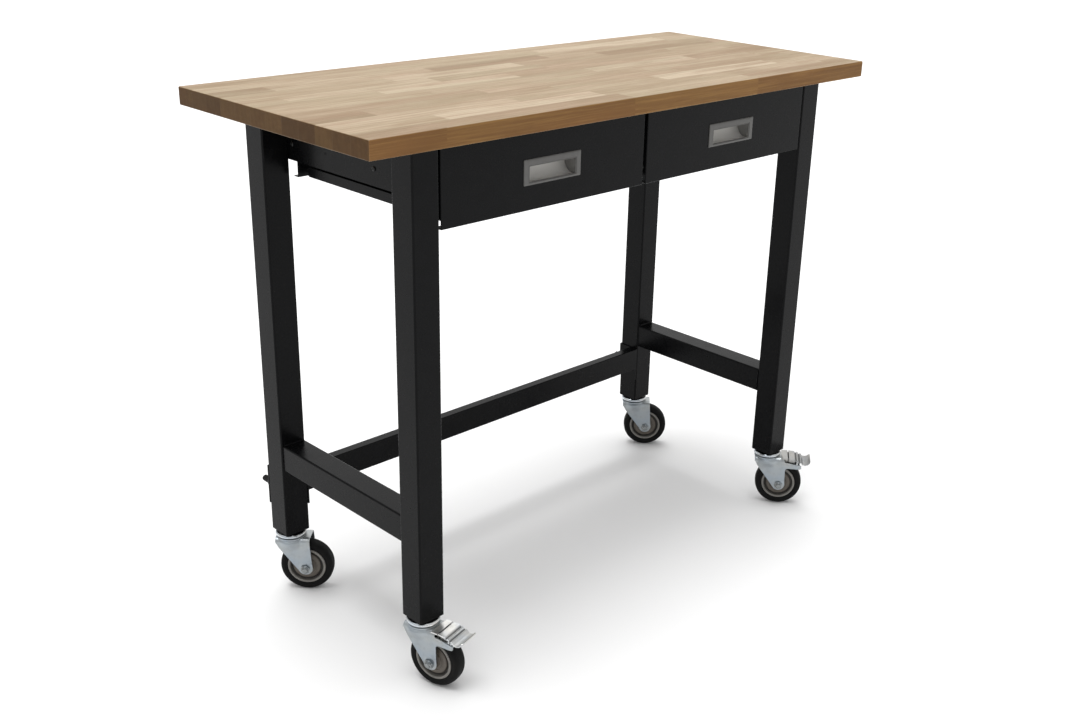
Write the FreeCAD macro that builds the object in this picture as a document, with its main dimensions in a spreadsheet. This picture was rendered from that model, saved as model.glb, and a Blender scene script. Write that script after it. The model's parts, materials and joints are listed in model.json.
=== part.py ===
"""Mobile workbench: laminated top, welded tube frame, two drawers on telescopic runners, four swivel casters.

Millimetres, +Z up, +X along the bench to its right end, drawers open towards -Y.
The origin lies on the floor under the middle of the whole bench.
"""
import FreeCAD, Part
import math
import os
import Sketcher
from types import SimpleNamespace

Vector = FreeCAD.Vector

DIMENSIONS = {
    # worktop
    "top_length": 1200, "top_depth": 510, "top_thickness": 30, "top_edge_radius": 2,
    # welded frame of square tube; frame_shift centres the bench, turned casters included, on the origin
    "frame_length": 1006, "frame_depth": 446, "frame_shift": 19.646,
    "leg_size": 50, "leg_wall": 2, "leg_corner": 3, "leg_length": 800,
    "cap_thickness": 3, "foot_thickness": 6,
    "end_rail_height": 50, "end_rail_width": 46, "end_rail_inset": 3, "end_rail_lift": 135,
    "stretcher_height": 50, "stretcher_depth": 20, "stretcher_wall": 1.5, "stretcher_lift": 79,
    "bracket_sheet": 3, "bracket_height": 77, "stud_diameter": 8, "stud_reach": 29, "stud_edge": 9,
    "stud_pitch": 27, "stud_weld_head": 12,
    "nut_flats": 13, "nut_height": 6.5,
    # drawer case hung under the worktop
    "case_sheet": 1.5, "case_side_drop": 95, "case_side_length": 430, "case_flange": 22,
    "case_back_drop": 122, "case_back_y": 150, "case_back_flange": 20, "case_back_lip": 12,
    "divider_width": 6, "divider_flange": 15, "divider_front_y": -200,
    "screw_head": 8, "screw_head_height": 2.2, "screw_shank": 5, "screw_length": 3,
    "case_screw_drop": 67, "leg_screw_drop": 20, "leg_screw_y": 195,
    "wood_screw_head": 8, "wood_screw_head_height": 2.5, "wood_screw_shank": 4.5, "wood_screw_length": 17.5,
    # telescopic runners: 45 mm high, 12.7 mm wide, three nested profiles
    "runner_length": 350, "runner_front_y": -204, "runner_height": 45, "runner_width": 12.7,
    "runner_sheet": 1.2,
    # drawers
    "front_side_gap": 3, "front_centre_gap": 8, "front_top_gap": 3, "front_height": 128.5,
    "front_sheet": 1.5, "front_return": 18, "front_lip": 20, "front_side_lip": 8,
    "front_relief": 13, "front_lip_relief": 30,
    "tray_sheet": 1, "tray_floor_drop": 120, "tray_height": 103, "tray_back_y": 139, "tray_hem": 6,
    "skirt_reach": 1.5, "skirt_foot_drop": 116.5, "skirt_height": 16, "skirt_length": 328,
    "front_screw_head": 7, "front_screw_head_height": 2.2, "front_screw_shank": 4, "front_screw_length": 6,
    "front_side_screw_drop": 102.5,
    # recessed pulls
    "pull_width": 126, "pull_height": 42, "pull_plate": 2, "pull_bevel": 1.2,
    "pull_drop": 69.5, "pull_shift": 6,
    "scoop_width": 101, "scoop_radius": 16, "scoop_centre_depth": 12, "scoop_wall": 1.5, "scoop_drop": 2,
    "window_rise": 9, "window_height": 24.5, "window_edge": 0.6,
    # casters
    "caster_height": 125, "caster_trail": 28.5, "wheel_diameter": 100, "tread_width": 28, "tyre_shoulder": 6,
    "rim_diameter": 72, "hub_length": 33, "hub_bore": 14.1, "spacer_diameter": 14,
    "axle_diameter": 10, "washer_diameter": 20, "washer_thickness": 2, "axle_flats": 16, "axle_nut_height": 8,
    "axle_head_height": 6.4, "axle_end": 2.5,
    "fork_width": 40, "fork_sheet": 2.5, "fork_top": 109.5, "fork_crown": 3, "fork_tip_radius": 13,
    "fork_nose": 26,
    "kingpin_diameter": 13.9, "kingpin_hole": 14, "stem_diameter": 12, "stem_length": 25,
    "turn_front_left": -75, "turn_front_right": -52, "turn_rear_left": -46, "turn_rear_right": -46,
    # brake pedals on the front casters
    "pedal_width": 45, "pedal_sheet": 2, "pedal_lift": 3.5, "pedal_corner": 5,
    "pedal_pivot_x": 46, "pedal_pivot_z": 98, "pivot_diameter": 5,
    "stop_pin_x": 70, "stop_pin_z": 92.5, "lug_inner": 15, "lug_sheet": 2, "shoe_width": 24,
}


class Size:
    """A number together with the spreadsheet expression that it is bound to."""

    def __init__(self, text, value):
        self.text = text
        self.value = value

    def __add__(self, other):
        other = as_size(other)
        return Size(f"({self.text} + {other.text})", self.value + other.value)

    def __sub__(self, other):
        other = as_size(other)
        return Size(f"({self.text} - {other.text})", self.value - other.value)

    def __mul__(self, other):
        other = as_size(other)
        return Size(f"({self.text} * {other.text})", self.value * other.value)

    def __truediv__(self, other):
        other = as_size(other)
        return Size(f"({self.text} / {other.text})", self.value / other.value)

    def __neg__(self):
        return self * -1

    __radd__ = __add__
    __rmul__ = __mul__

    def __rsub__(self, other):
        return as_size(other) - self


def as_size(number):
    return number if isinstance(number, Size) else Size(f"{number:.6f}", float(number))


def cosine(degrees):
    return Size(f"cos({degrees.text})", math.cos(math.radians(degrees.value)))


def sine(degrees):
    return Size(f"sin({degrees.text})", math.sin(math.radians(degrees.value)))


doc = FreeCAD.newDocument("MobileWorkbench")
nodes = []


def write_sheet():
    """Fill the spreadsheet and return its cells as Size values."""
    sheet = doc.addObject("Spreadsheet::Sheet", "Dims")
    cells = {}
    for row, (alias, number) in enumerate(DIMENSIONS.items(), start=1):
        sheet.set(f"A{row}", alias)
        sheet.set(f"B{row}", str(number))
        sheet.setAlias(f"B{row}", alias)
        cells[alias] = Size(f"Dims.{alias}", float(number))
    doc.recompute()
    return SimpleNamespace(**cells)


d = write_sheet()


# ---------------------------------------------------------------- helpers for bodies and sketches

def bind(thing, path, size):
    """Set a property and bind it to the spreadsheet."""
    thing.setExpression(path, as_size(size).text)


def place(thing, x=0, y=0, z=0, turn=None, axis=(0, 0, 1)):
    """Bind a placement: position, and a turn in degrees about an axis."""
    x, y, z = as_size(x), as_size(y), as_size(z)
    turn = as_size(0 if turn is None else turn)
    thing.Placement = FreeCAD.Placement(
        Vector(x.value, y.value, z.value), FreeCAD.Rotation(Vector(*axis), turn.value))
    for letter, size in zip("xyz", (x, y, z)):
        bind(thing, f"Placement.Base.{letter}", size)
    if abs(turn.value) > 1e-9:
        bind(thing, "Placement.Rotation.Angle", turn)


def new_body(label):
    body = doc.addObject("PartDesign::Body", label)
    body.Label = label
    body.AllowCompound = True
    return body


def sketch_on(body, role, offset=0):
    """A sketch on one of the body's own origin planes, moved along the plane's normal."""
    offset = as_size(offset)
    plane = next(item for item in body.Origin.OriginFeatures if item.Role == role)
    sketch = body.newObject("Sketcher::SketchObject", f"{body.Name}Sketch")
    sketch.AttachmentSupport = (plane, [""])
    sketch.MapMode = "FlatFace"
    sketch.AttachmentOffset = FreeCAD.Placement(Vector(0, 0, offset.value), FreeCAD.Rotation())
    bind(sketch, "AttachmentOffset.Base.z", offset)
    return sketch


def hold(sketch, edge, end, x, y):
    """Fix one point of a sketch edge by its two distances from the sketch's origin."""
    for kind, size in (("DistanceX", as_size(x)), ("DistanceY", as_size(y))):
        index = sketch.addConstraint(Sketcher.Constraint(kind, -1, 1, edge, end, size.value))
        bind(sketch, f"Constraints[{index}]", size)


def outline(sketch, corners):
    """A closed straight-sided outline through the corners."""
    first = sketch.GeometryCount
    count = len(corners)
    spots = [(as_size(x), as_size(y)) for x, y in corners]
    for i, (x, y) in enumerate(spots):
        next_x, next_y = spots[(i + 1) % count]
        start, end = Vector(x.value, y.value, 0), Vector(next_x.value, next_y.value, 0)
        sketch.addGeometry(Part.LineSegment(start, end), False)
    for i, (x, y) in enumerate(spots):
        sketch.addConstraint(Sketcher.Constraint("Coincident", first + i, 2, first + (i + 1) % count, 1))
        hold(sketch, first + i, 1, x, y)


def rectangle(sketch, x0, y0, x1, y1):
    outline(sketch, [(x0, y0), (x1, y0), (x1, y1), (x0, y1)])


def circle(sketch, x, y, radius):
    x, y, radius = as_size(x), as_size(y), as_size(radius)
    edge = sketch.addGeometry(Part.Circle(Vector(x.value, y.value, 0), Vector(0, 0, 1), radius.value), False)
    hold(sketch, edge, 3, x, y)
    index = sketch.addConstraint(Sketcher.Constraint("Radius", edge, radius.value))
    bind(sketch, f"Constraints[{index}]", radius)


def tongue_outline(sketch, before, centre, radius, after):
    """A closed outline through the points before, round a circle's far side, and through the points after.

    The two sides that meet the circle are tangent to it.
    """
    cx, cy, r = (as_size(item) for item in (*centre, radius))
    before = [(as_size(x), as_size(y)) for x, y in before]
    after = [(as_size(x), as_size(y)) for x, y in after]
    middle = Vector(cx.value, cy.value, 0)

    def touch(point, side):
        away = Vector(point[0].value, point[1].value, 0) - middle
        angle = math.atan2(away.y, away.x) + side * math.acos(r.value / away.Length)
        return middle + Vector(math.cos(angle), math.sin(angle), 0) * r.value, angle

    entry, entry_angle = touch(before[-1], 1)
    leave, leave_angle = touch(after[0], -1)
    full = Part.Circle(middle, Vector(0, 0, 1), r.value)
    chain = [*before, None, *after]
    starts = {}
    for i, spot in enumerate(chain):
        if spot is None:
            starts[i] = sketch.addGeometry(Part.ArcOfCircle(full, entry_angle, leave_angle), False)
            continue
        following = chain[(i + 1) % len(chain)]
        start = Vector(spot[0].value, spot[1].value, 0)
        end = entry if following is None else Vector(following[0].value, following[1].value, 0)
        starts[i] = sketch.addGeometry(Part.LineSegment(start, end), False)
    arc_at = len(before)
    closing = sketch.addGeometry(
        Part.LineSegment(leave, Vector(after[0][0].value, after[0][1].value, 0)), False)
    arc = starts[arc_at]
    for i in range(len(chain)):
        if i in (arc_at - 1, arc_at):
            continue
        sketch.addConstraint(Sketcher.Constraint("Coincident", starts[i], 2, starts[(i + 1) % len(chain)], 1))
    sketch.addConstraint(Sketcher.Constraint("Coincident", closing, 2, starts[arc_at + 1], 1))
    sketch.addConstraint(Sketcher.Constraint("Tangent", starts[arc_at - 1], 2, arc, 1))
    sketch.addConstraint(Sketcher.Constraint("Tangent", arc, 2, closing, 1))
    for i, spot in enumerate(chain):
        if spot is not None:
            hold(sketch, starts[i], 1, *spot)
    hold(sketch, arc, 3, cx, cy)
    index = sketch.addConstraint(Sketcher.Constraint("Radius", arc, r.value))
    bind(sketch, f"Constraints[{index}]", r)


def pad(body, sketch, length, symmetric=False, backwards=False):
    feature = body.newObject("PartDesign::Pad", f"{body.Name}Pad")
    feature.Profile = sketch
    feature.SideType = "Symmetric" if symmetric else "One side"
    feature.Reversed = backwards
    bind(feature, "Length", length)
    sketch.Visibility = False
    return feature


def pocket(body, sketch, length, symmetric=False, backwards=False):
    """Cut a sketch out of the body; stop if it removed nothing."""
    doc.recompute()
    before = body.Shape.Volume
    feature = body.newObject("PartDesign::Pocket", f"{body.Name}Pocket")
    feature.Profile = sketch
    feature.SideType = "Symmetric" if symmetric else "One side"
    feature.Reversed = backwards
    bind(feature, "Length", length)
    doc.recompute()
    if not body.Shape.Volume < before - 1e-6:
        raise ValueError(f"{feature.Name} of {body.Label} cuts nothing")
    return feature


def revolve(body, sketch):
    """Turn a sketch round its own vertical axis."""
    feature = body.newObject("PartDesign::Revolution", f"{body.Name}Revolution")
    feature.Profile = sketch
    feature.ReferenceAxis = (sketch, ["V_Axis"])
    feature.Angle = 360
    return feature


def edges_where(shape, test):
    """Names of the edges whose middle point passes the test."""
    names = []
    for number, edge in enumerate(shape.Edges, start=1):
        middle = edge.valueAt((edge.FirstParameter + edge.LastParameter) / 2)
        if test(middle, edge):
            names.append(f"Edge{number}")
    return names


def soften(body, kind, size, test):
    """Fillet or chamfer the body's edges that pass the test."""
    doc.recompute()
    base = body.Tip
    names = edges_where(base.Shape, test)
    if not names:
        raise ValueError(f"no edge of {body.Label} to soften")
    feature = body.newObject(f"PartDesign::{kind}", f"{body.Name}{kind}")
    feature.Base = (base, names)
    bind(feature, "Radius" if kind == "Fillet" else "Size", size)
    doc.recompute()
    return feature


def near(value, size):
    return abs(value - as_size(size).value) < 0.01


def along(edge, axis):
    """True for a straight edge parallel to an axis, given as 0, 1 or 2."""
    run = edge.Vertexes[-1].Point - edge.Vertexes[0].Point
    return run.Length > 1e-6 and abs(abs(run[axis]) - run.Length) < 1e-6


# ---------------------------------------------------------------- helpers for fasteners

TURNS = {"+z": ((0, 0, 1), 0), "-z": ((1, 0, 0), 180), "+x": ((0, 1, 0), 90), "-x": ((0, 1, 0), -90),
         "+y": ((1, 0, 0), -90), "-y": ((1, 0, 0), 90)}


def cylinder(name, diameter, height, at, towards="+z"):
    feature = doc.addObject("Part::Cylinder", name)
    bind(feature, "Radius", as_size(diameter) / 2)
    bind(feature, "Height", height)
    axis, turn = TURNS[towards]
    place(feature, *at, turn=turn, axis=axis)
    return feature


def hexagon(name, flats, height, at, towards="+z"):
    feature = doc.addObject("Part::Prism", name)
    feature.Polygon = 6
    bind(feature, "Circumradius", as_size(flats) / math.sqrt(3))
    bind(feature, "Height", height)
    axis, turn = TURNS[towards]
    place(feature, *at, turn=turn, axis=axis)
    return feature


def fused(name, shapes):
    feature = doc.addObject("Part::MultiFuse", name)
    feature.Shapes = shapes
    return feature


def drilled(name, solid, tool):
    feature = doc.addObject("Part::Cut", name)
    feature.Base = solid
    feature.Tool = tool
    return feature


def group(label, shapes):
    """One node that holds several separate solids."""
    feature = doc.addObject("Part::Compound", label)
    feature.Links = shapes
    feature.Label = label
    nodes.append(feature)
    return feature


def keep(body):
    nodes.append(body)
    return body


def step(at, axis, distance):
    """The point moved along one axis, given by its letter."""
    moved = [as_size(item) for item in at]
    moved["xyz".index(axis)] = moved["xyz".index(axis)] + distance
    return tuple(moved)


def screw(name, at, towards, head, head_height, shank, length):
    """A round-headed screw: the head's underside is at the point, the shank runs towards the given side."""
    sign = 1 if towards[0] == "+" else -1
    axis = towards[1]
    back = ("-" if sign > 0 else "+") + axis
    cap = cylinder(f"{name}_head", head, head_height, at, back)
    stem = cylinder(f"{name}_shank", shank, as_size(length) + head_height / 2,
                    step(at, axis, -sign * head_height / 2), towards)
    return fused(name, [cap, stem])


# ---------------------------------------------------------------- heights and lines shared by the pieces

leg_bottom = d.caster_height
top_under = d.caster_height + d.leg_length
middle_y = d.frame_shift
leg_outer_x = d.frame_length / 2
leg_inner_x = leg_outer_x - d.leg_size
leg_centre_x = leg_outer_x - d.leg_size / 2
frame_front_y = middle_y - d.frame_depth / 2
frame_back_y = middle_y + d.frame_depth / 2
back_leg_front_y = frame_back_y - d.leg_size
case_screw_z = top_under - d.case_screw_drop
case_inner_x = leg_inner_x - d.case_sheet
bracket_bottom = leg_bottom + d.stretcher_lift + d.stretcher_height - d.bracket_height
CORNERS = {"front_left": (-1, -1), "front_right": (1, -1), "rear_left": (-1, 1), "rear_right": (1, 1)}
SIDES = {"left": -1, "right": 1}
RUNNER_SCREW_Y = (-64, 161)
SPARE_HOLE_Y = 66


def leg_centre(corner):
    side, end = CORNERS[corner]
    return side * leg_centre_x, middle_y + end * (d.frame_depth - d.leg_size) / 2


# ---------------------------------------------------------------- worktop and frame

def wood_screw_places():
    """Where the worktop is screwed down: through the flanges of the case."""
    flange_middle = case_inner_x - (d.case_flange - d.case_sheet) / 2
    divider_middle = (d.divider_width + d.divider_flange) / 2
    places = [(side * flange_middle, middle_y + y) for side in (-1, 1) for y in (-150, 0, 110)]
    places += [(side * divider_middle, middle_y + y) for side in (-1, 1) for y in (-150, 50)]
    back_flange_y = middle_y + d.case_back_y + d.case_back_flange / 2
    places += [(as_size(x), back_flange_y) for x in (-330, -110, 110, 330)]
    return places


def make_worktop():
    body = new_body("worktop")
    sketch = sketch_on(body, "XY_Plane", top_under)
    half_x, half_y = d.top_length / 2, d.top_depth / 2
    rectangle(sketch, -half_x, middle_y - half_y, half_x, middle_y + half_y)
    pad(body, sketch, d.top_thickness)
    soften(body, "Fillet", d.top_edge_radius, lambda middle, edge: True)
    holes = sketch_on(body, "XY_Plane", top_under)
    for x, y in wood_screw_places():
        circle(holes, x, y, d.wood_screw_shank / 2)
    pocket(body, holes, d.wood_screw_length - d.case_sheet, backwards=True)
    return keep(body)


def make_worktop_screws():
    shapes = []
    for number, (x, y) in enumerate(wood_screw_places()):
        at = (x, y, top_under - d.case_sheet)
        shapes.append(screw(f"wood_screw_{number}", at, "+z", d.wood_screw_head, d.wood_screw_head_height,
                            d.wood_screw_shank, d.wood_screw_length))
    return group("worktop_screws", shapes)


def stud_places(side):
    """Centres of a rear leg's two studs, as x and z, half-way up the bracket."""
    outer_x = leg_outer_x - d.stud_edge
    return [(side * x, bracket_bottom + d.bracket_height / 2) for x in (outer_x, outer_x - d.stud_pitch)]


def make_leg(corner):
    side, end = CORNERS[corner]
    x, y = leg_centre(corner)
    body = new_body(f"leg_{corner}")
    sketch = sketch_on(body, "XY_Plane", leg_bottom)
    for half in (d.leg_size / 2, d.leg_size / 2 - d.leg_wall):
        rectangle(sketch, x - half, y - half, x + half, y + half)
    pad(body, sketch, d.leg_length)
    half = d.leg_size / 2

    def outer_corner(middle, edge):
        return near(abs(middle.x - x.value), half) and near(abs(middle.y - y.value), half) and along(edge, 2)

    soften(body, "Fillet", d.leg_corner, outer_corner)
    screws = sketch_on(body, "YZ_Plane", side * leg_inner_x)
    circle(screws, middle_y + end * d.leg_screw_y, top_under - d.leg_screw_drop, d.screw_shank / 2)
    pocket(body, screws, 2 * d.leg_wall, symmetric=True)
    if end > 0:
        studs = sketch_on(body, "XZ_Plane", -frame_back_y)
        for stud_x, stud_z in stud_places(side):
            circle(studs, stud_x, stud_z, d.stud_diameter / 2)
        pocket(body, studs, 2 * d.leg_wall, symmetric=True)
    return keep(body)


def make_leg_plates(label, bottom, thickness, hole=None):
    """Four square plates welded inside the legs' ends."""
    plates = []
    inside = d.leg_size - 2 * d.leg_wall
    for corner in CORNERS:
        x, y = leg_centre(corner)
        plate = doc.addObject("Part::Box", f"{label}_{corner}_plate")
        bind(plate, "Length", inside)
        bind(plate, "Width", inside)
        bind(plate, "Height", thickness)
        place(plate, x - inside / 2, y - inside / 2, bottom)
        if hole is not None:
            drill = cylinder(f"{label}_{corner}_drill", hole, thickness, (x, y, bottom))
            plate = drilled(f"{label}_{corner}_drilled", plate, drill)
        plates.append(plate)
    return group(label, plates)


def make_end_rail(name):
    side = SIDES[name]
    body = new_body(f"end_rail_{name}")
    outer = leg_outer_x - d.end_rail_inset
    bottom = leg_bottom + d.end_rail_lift
    sketch = sketch_on(body, "XZ_Plane", -middle_y)
    for inset in (as_size(0), d.leg_wall):
        rectangle(sketch, side * (outer - inset), bottom + inset,
                  side * (outer - d.end_rail_width + inset), bottom + d.end_rail_height - inset)
    pad(body, sketch, d.frame_depth - 2 * d.leg_size, symmetric=True)
    low, high = bottom.value, (bottom + d.end_rail_height).value
    soften(body, "Fillet", d.leg_corner,
           lambda middle, edge: along(edge, 1) and (near(middle.z, low) or near(middle.z, high)))
    return keep(body)


def make_stretcher():
    body = new_body("rear_stretcher")
    bottom = leg_bottom + d.stretcher_lift
    sketch = sketch_on(body, "YZ_Plane")
    for inset in (as_size(0), d.stretcher_wall):
        rectangle(sketch, back_leg_front_y + inset, bottom + inset,
                  back_leg_front_y + d.stretcher_depth - inset, bottom + d.stretcher_height - inset)
    pad(body, sketch, 2 * (leg_inner_x - d.bracket_sheet), symmetric=True)
    low, high = bottom.value, (bottom + d.stretcher_height).value
    soften(body, "Fillet", d.stretcher_wall,
           lambda middle, edge: along(edge, 0) and (near(middle.z, low) or near(middle.z, high)))
    return keep(body)


def make_bracket(name):
    """Angle bracket round a rear leg's inner back corner; the stretcher is welded to its inner flange."""
    side = SIDES[name]
    body = new_body(f"stretcher_bracket_{name}")
    inner = leg_inner_x - d.bracket_sheet
    behind = frame_back_y + d.bracket_sheet
    sketch = sketch_on(body, "XY_Plane", bracket_bottom)
    outline(sketch, [(side * leg_inner_x, back_leg_front_y), (side * inner, back_leg_front_y),
                     (side * inner, behind), (side * leg_outer_x, behind),
                     (side * leg_outer_x, frame_back_y), (side * leg_inner_x, frame_back_y)])
    pad(body, sketch, d.bracket_height)
    soften(body, "Fillet", d.bracket_sheet,
           lambda middle, edge: along(edge, 2) and near(middle.x, side * inner) and near(middle.y, behind))
    holes = sketch_on(body, "XZ_Plane", -frame_back_y)
    for x, z in stud_places(side):
        circle(holes, x, z, d.stud_diameter / 2)
    pocket(body, holes, 4 * d.bracket_sheet, symmetric=True)
    return keep(body)


def make_stretcher_studs():
    studs, nuts = [], []
    weld_y = frame_back_y - 2 * d.leg_wall
    nut_y = frame_back_y + d.bracket_sheet
    for name, side in SIDES.items():
        for number, (x, z) in enumerate(stud_places(side)):
            tag = f"{name}_{number}"
            weld = cylinder(f"stud_{tag}_weld", d.stud_weld_head, d.leg_wall, (x, weld_y, z), "+y")
            length = d.stud_reach + 2 * d.leg_wall
            stem = cylinder(f"stud_{tag}_stem", d.stud_diameter, length, (x, weld_y, z), "+y")
            studs.append(fused(f"stud_{tag}", [weld, stem]))
            solid = hexagon(f"stud_{tag}_nut_solid", d.nut_flats, d.nut_height, (x, nut_y, z), "+y")
            drill = cylinder(f"stud_{tag}_nut_drill", d.stud_diameter, d.nut_height, (x, nut_y, z), "+y")
            nuts.append(drilled(f"stud_{tag}_nut", solid, drill))
    group("stretcher_studs", studs)
    group("stretcher_nuts", nuts)


# ---------------------------------------------------------------- drawer case

def make_case_side(name):
    side = SIDES[name]
    body = new_body(f"case_side_{name}")
    bottom = top_under - d.case_side_drop
    sketch = sketch_on(body, "XZ_Plane", -middle_y)
    under_flange = top_under - d.case_sheet
    flange_tip = leg_inner_x - d.case_flange
    outline(sketch, [(side * leg_inner_x, bottom), (side * case_inner_x, bottom),
                     (side * case_inner_x, under_flange), (side * flange_tip, under_flange),
                     (side * flange_tip, top_under), (side * leg_inner_x, top_under)])
    pad(body, sketch, d.case_side_length, symmetric=True)
    holes = sketch_on(body, "YZ_Plane", side * leg_inner_x)
    for y in (*RUNNER_SCREW_Y, SPARE_HOLE_Y):
        circle(holes, middle_y + y, case_screw_z, d.screw_shank / 2)
    for end in (-1, 1):
        circle(holes, middle_y + end * d.leg_screw_y, top_under - d.leg_screw_drop, d.screw_shank / 2)
    pocket(body, holes, 4 * d.case_sheet, symmetric=True)
    drill_for_worktop(body, lambda x, y: x.value * side > (leg_inner_x - d.case_flange).value)
    return keep(body)


def drill_for_worktop(body, wanted):
    """Drill the worktop screws' holes through a flange."""
    sketch = sketch_on(body, "XY_Plane", top_under)
    for x, y in wood_screw_places():
        if wanted(x, y):
            circle(sketch, x, y, d.wood_screw_shank / 2)
    pocket(body, sketch, 4 * d.case_sheet, symmetric=True)


def make_divider():
    """Folded channel between the drawers, hung from two outward flanges."""
    body = new_body("case_divider")
    half = d.divider_width / 2
    wide = half + d.divider_flange
    bottom = top_under - d.case_side_drop
    under_flange = top_under - d.case_sheet
    front = middle_y + d.divider_front_y
    sketch = sketch_on(body, "XZ_Plane", -front)
    hollow, floor = half - d.case_sheet, bottom + d.case_sheet
    outline(sketch, [(-half, bottom), (half, bottom), (half, under_flange), (wide, under_flange),
                     (wide, top_under), (hollow, top_under), (hollow, floor), (-hollow, floor),
                     (-hollow, top_under), (-wide, top_under), (-wide, under_flange), (-half, under_flange)])
    pad(body, sketch, d.case_back_y - d.divider_front_y, backwards=True)
    holes = sketch_on(body, "YZ_Plane")
    for y in RUNNER_SCREW_Y[:1]:
        circle(holes, middle_y + y, case_screw_z, d.screw_shank / 2)
    pocket(body, holes, 2 * d.divider_width, symmetric=True)
    back_y = middle_y + d.case_back_y
    drill_for_worktop(body, lambda x, y: abs(x.value) < wide.value and y.value < back_y.value)
    return keep(body)


def make_case_back():
    """Rear panel between the sides, notched round their flanges, with a top flange and a stiffening lip."""
    body = new_body("case_back")
    front = middle_y + d.case_back_y
    bottom = top_under - d.case_back_drop
    under_flange = top_under - d.case_sheet
    notch = leg_inner_x - d.case_flange - 1
    web = sketch_on(body, "XZ_Plane", -front)
    outline(web, [(-case_inner_x, bottom), (case_inner_x, bottom), (case_inner_x, under_flange),
                  (notch, under_flange), (notch, top_under), (-notch, top_under),
                  (-notch, under_flange), (-case_inner_x, under_flange)])
    pad(body, web, d.case_sheet, backwards=True)
    flange = sketch_on(body, "XY_Plane", under_flange)
    rectangle(flange, -notch, front, notch, front + d.case_back_flange)
    pad(body, flange, d.case_sheet)
    lip = sketch_on(body, "XY_Plane", bottom)
    rectangle(lip, -case_inner_x, front, case_inner_x, front + d.case_back_lip)
    pad(body, lip, d.case_sheet)
    drill_for_worktop(body, lambda x, y: y.value > front.value)
    return keep(body)


def make_case_screws():
    """Screws that hold the runners to the side panels, and the panels to the legs."""
    shapes = []
    for name, side in SIDES.items():
        inward, outward = ("+x", "-x") if side < 0 else ("-x", "+x")
        for number, y in enumerate(RUNNER_SCREW_Y):
            at = (side * leg_inner_x, middle_y + y, case_screw_z)
            shapes.append(case_screw(f"runner_screw_{name}_{number}", at, inward))
        for number, end in enumerate((-1, 1)):
            at = (side * case_inner_x, middle_y + end * d.leg_screw_y, top_under - d.leg_screw_drop)
            shapes.append(case_screw(f"leg_screw_{name}_{number}", at, outward))
    return group("case_screws", shapes)


def case_screw(name, at, towards):
    return screw(name, at, towards, d.screw_head, d.screw_head_height, d.screw_shank, d.screw_length)


# ---------------------------------------------------------------- telescopic runners

def runner_profile(member):
    """Half of a runner member's section, as distance from the case and height above the middle.

    The members nest: a ridge on the middle and inner members stands for the balls in the next one's race.
    """
    sheet, half = d.runner_sheet, d.runner_height / 2
    width = d.runner_width
    if member == "outer":
        reach = width - 2.2
        return [(as_size(0), half), (reach, half), (reach, half - 3.5), (reach - sheet, half - 3.5),
                (reach - sheet, half - sheet), (sheet, half - sheet)]
    if member == "middle":
        web, reach, high = as_size(2.2), width - 1.3, half - 4.9
        return [(web, high), (as_size(4.4), high), (as_size(4.4), half - sheet - 0.3),
                (as_size(7.0), half - sheet - 0.3), (as_size(7.0), high), (reach, high),
                (reach, high - 3.2), (reach - sheet, high - 3.2), (reach - sheet, high - sheet),
                (web + sheet, high - sheet)]
    back, high, ball = as_size(5.0), half - 9.9, half - 4.9 - sheet - 0.3
    return [(width, high), (as_size(8.8), high), (as_size(8.8), ball), (as_size(6.4), ball),
            (as_size(6.4), high), (back, high), (back, high - sheet), (width - sheet, high - sheet)]


def make_runner(drawer, member):
    """Both runners of a drawer: the same member on its left and on its right."""
    body = new_body(f"drawer_{drawer}_runner_{member}")
    sketch = sketch_on(body, "XZ_Plane", -(middle_y + d.runner_front_y))
    side = SIDES[drawer]
    walls = [(side * case_inner_x, -side), (side * d.divider_width / 2, side)]
    for wall, direction in walls:
        upper = [(wall + direction * u, case_screw_z + v) for u, v in runner_profile(member)]
        lower = [(wall + direction * u, case_screw_z - v) for u, v in runner_profile(member)]
        outline(sketch, upper + lower[::-1])
    pad(body, sketch, d.runner_length, backwards=True)
    if member == "outer":
        holes = sketch_on(body, "YZ_Plane", side * case_inner_x)
        for y in RUNNER_SCREW_Y[:1]:
            circle(holes, middle_y + y, case_screw_z, d.screw_shank / 2)
        pocket(body, holes, 4 * d.runner_sheet, symmetric=True)
    return keep(body)


# ---------------------------------------------------------------- drawers

def drawer_span(drawer):
    """Left and right edge of a drawer front."""
    outer = leg_inner_x - d.front_side_gap
    inner = d.front_centre_gap / 2
    return (-outer, -inner) if SIDES[drawer] < 0 else (inner, outer)


def tray_span(drawer):
    """Left and right outside of a tray, between its two runners."""
    outer = case_inner_x - d.runner_width
    inner = d.divider_width / 2 + d.runner_width
    return (-outer, -inner) if SIDES[drawer] < 0 else (inner, outer)


def pull_centre_x(drawer):
    left, right = drawer_span(drawer)
    return (left + right) / 2 + d.pull_shift


front_top = top_under - d.front_top_gap
front_bottom = front_top - d.front_height
front_back_y = frame_front_y + d.front_return
tray_bottom = top_under - d.tray_floor_drop
pull_z = top_under - d.pull_drop
scoop_z = pull_z - d.scoop_drop


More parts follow.
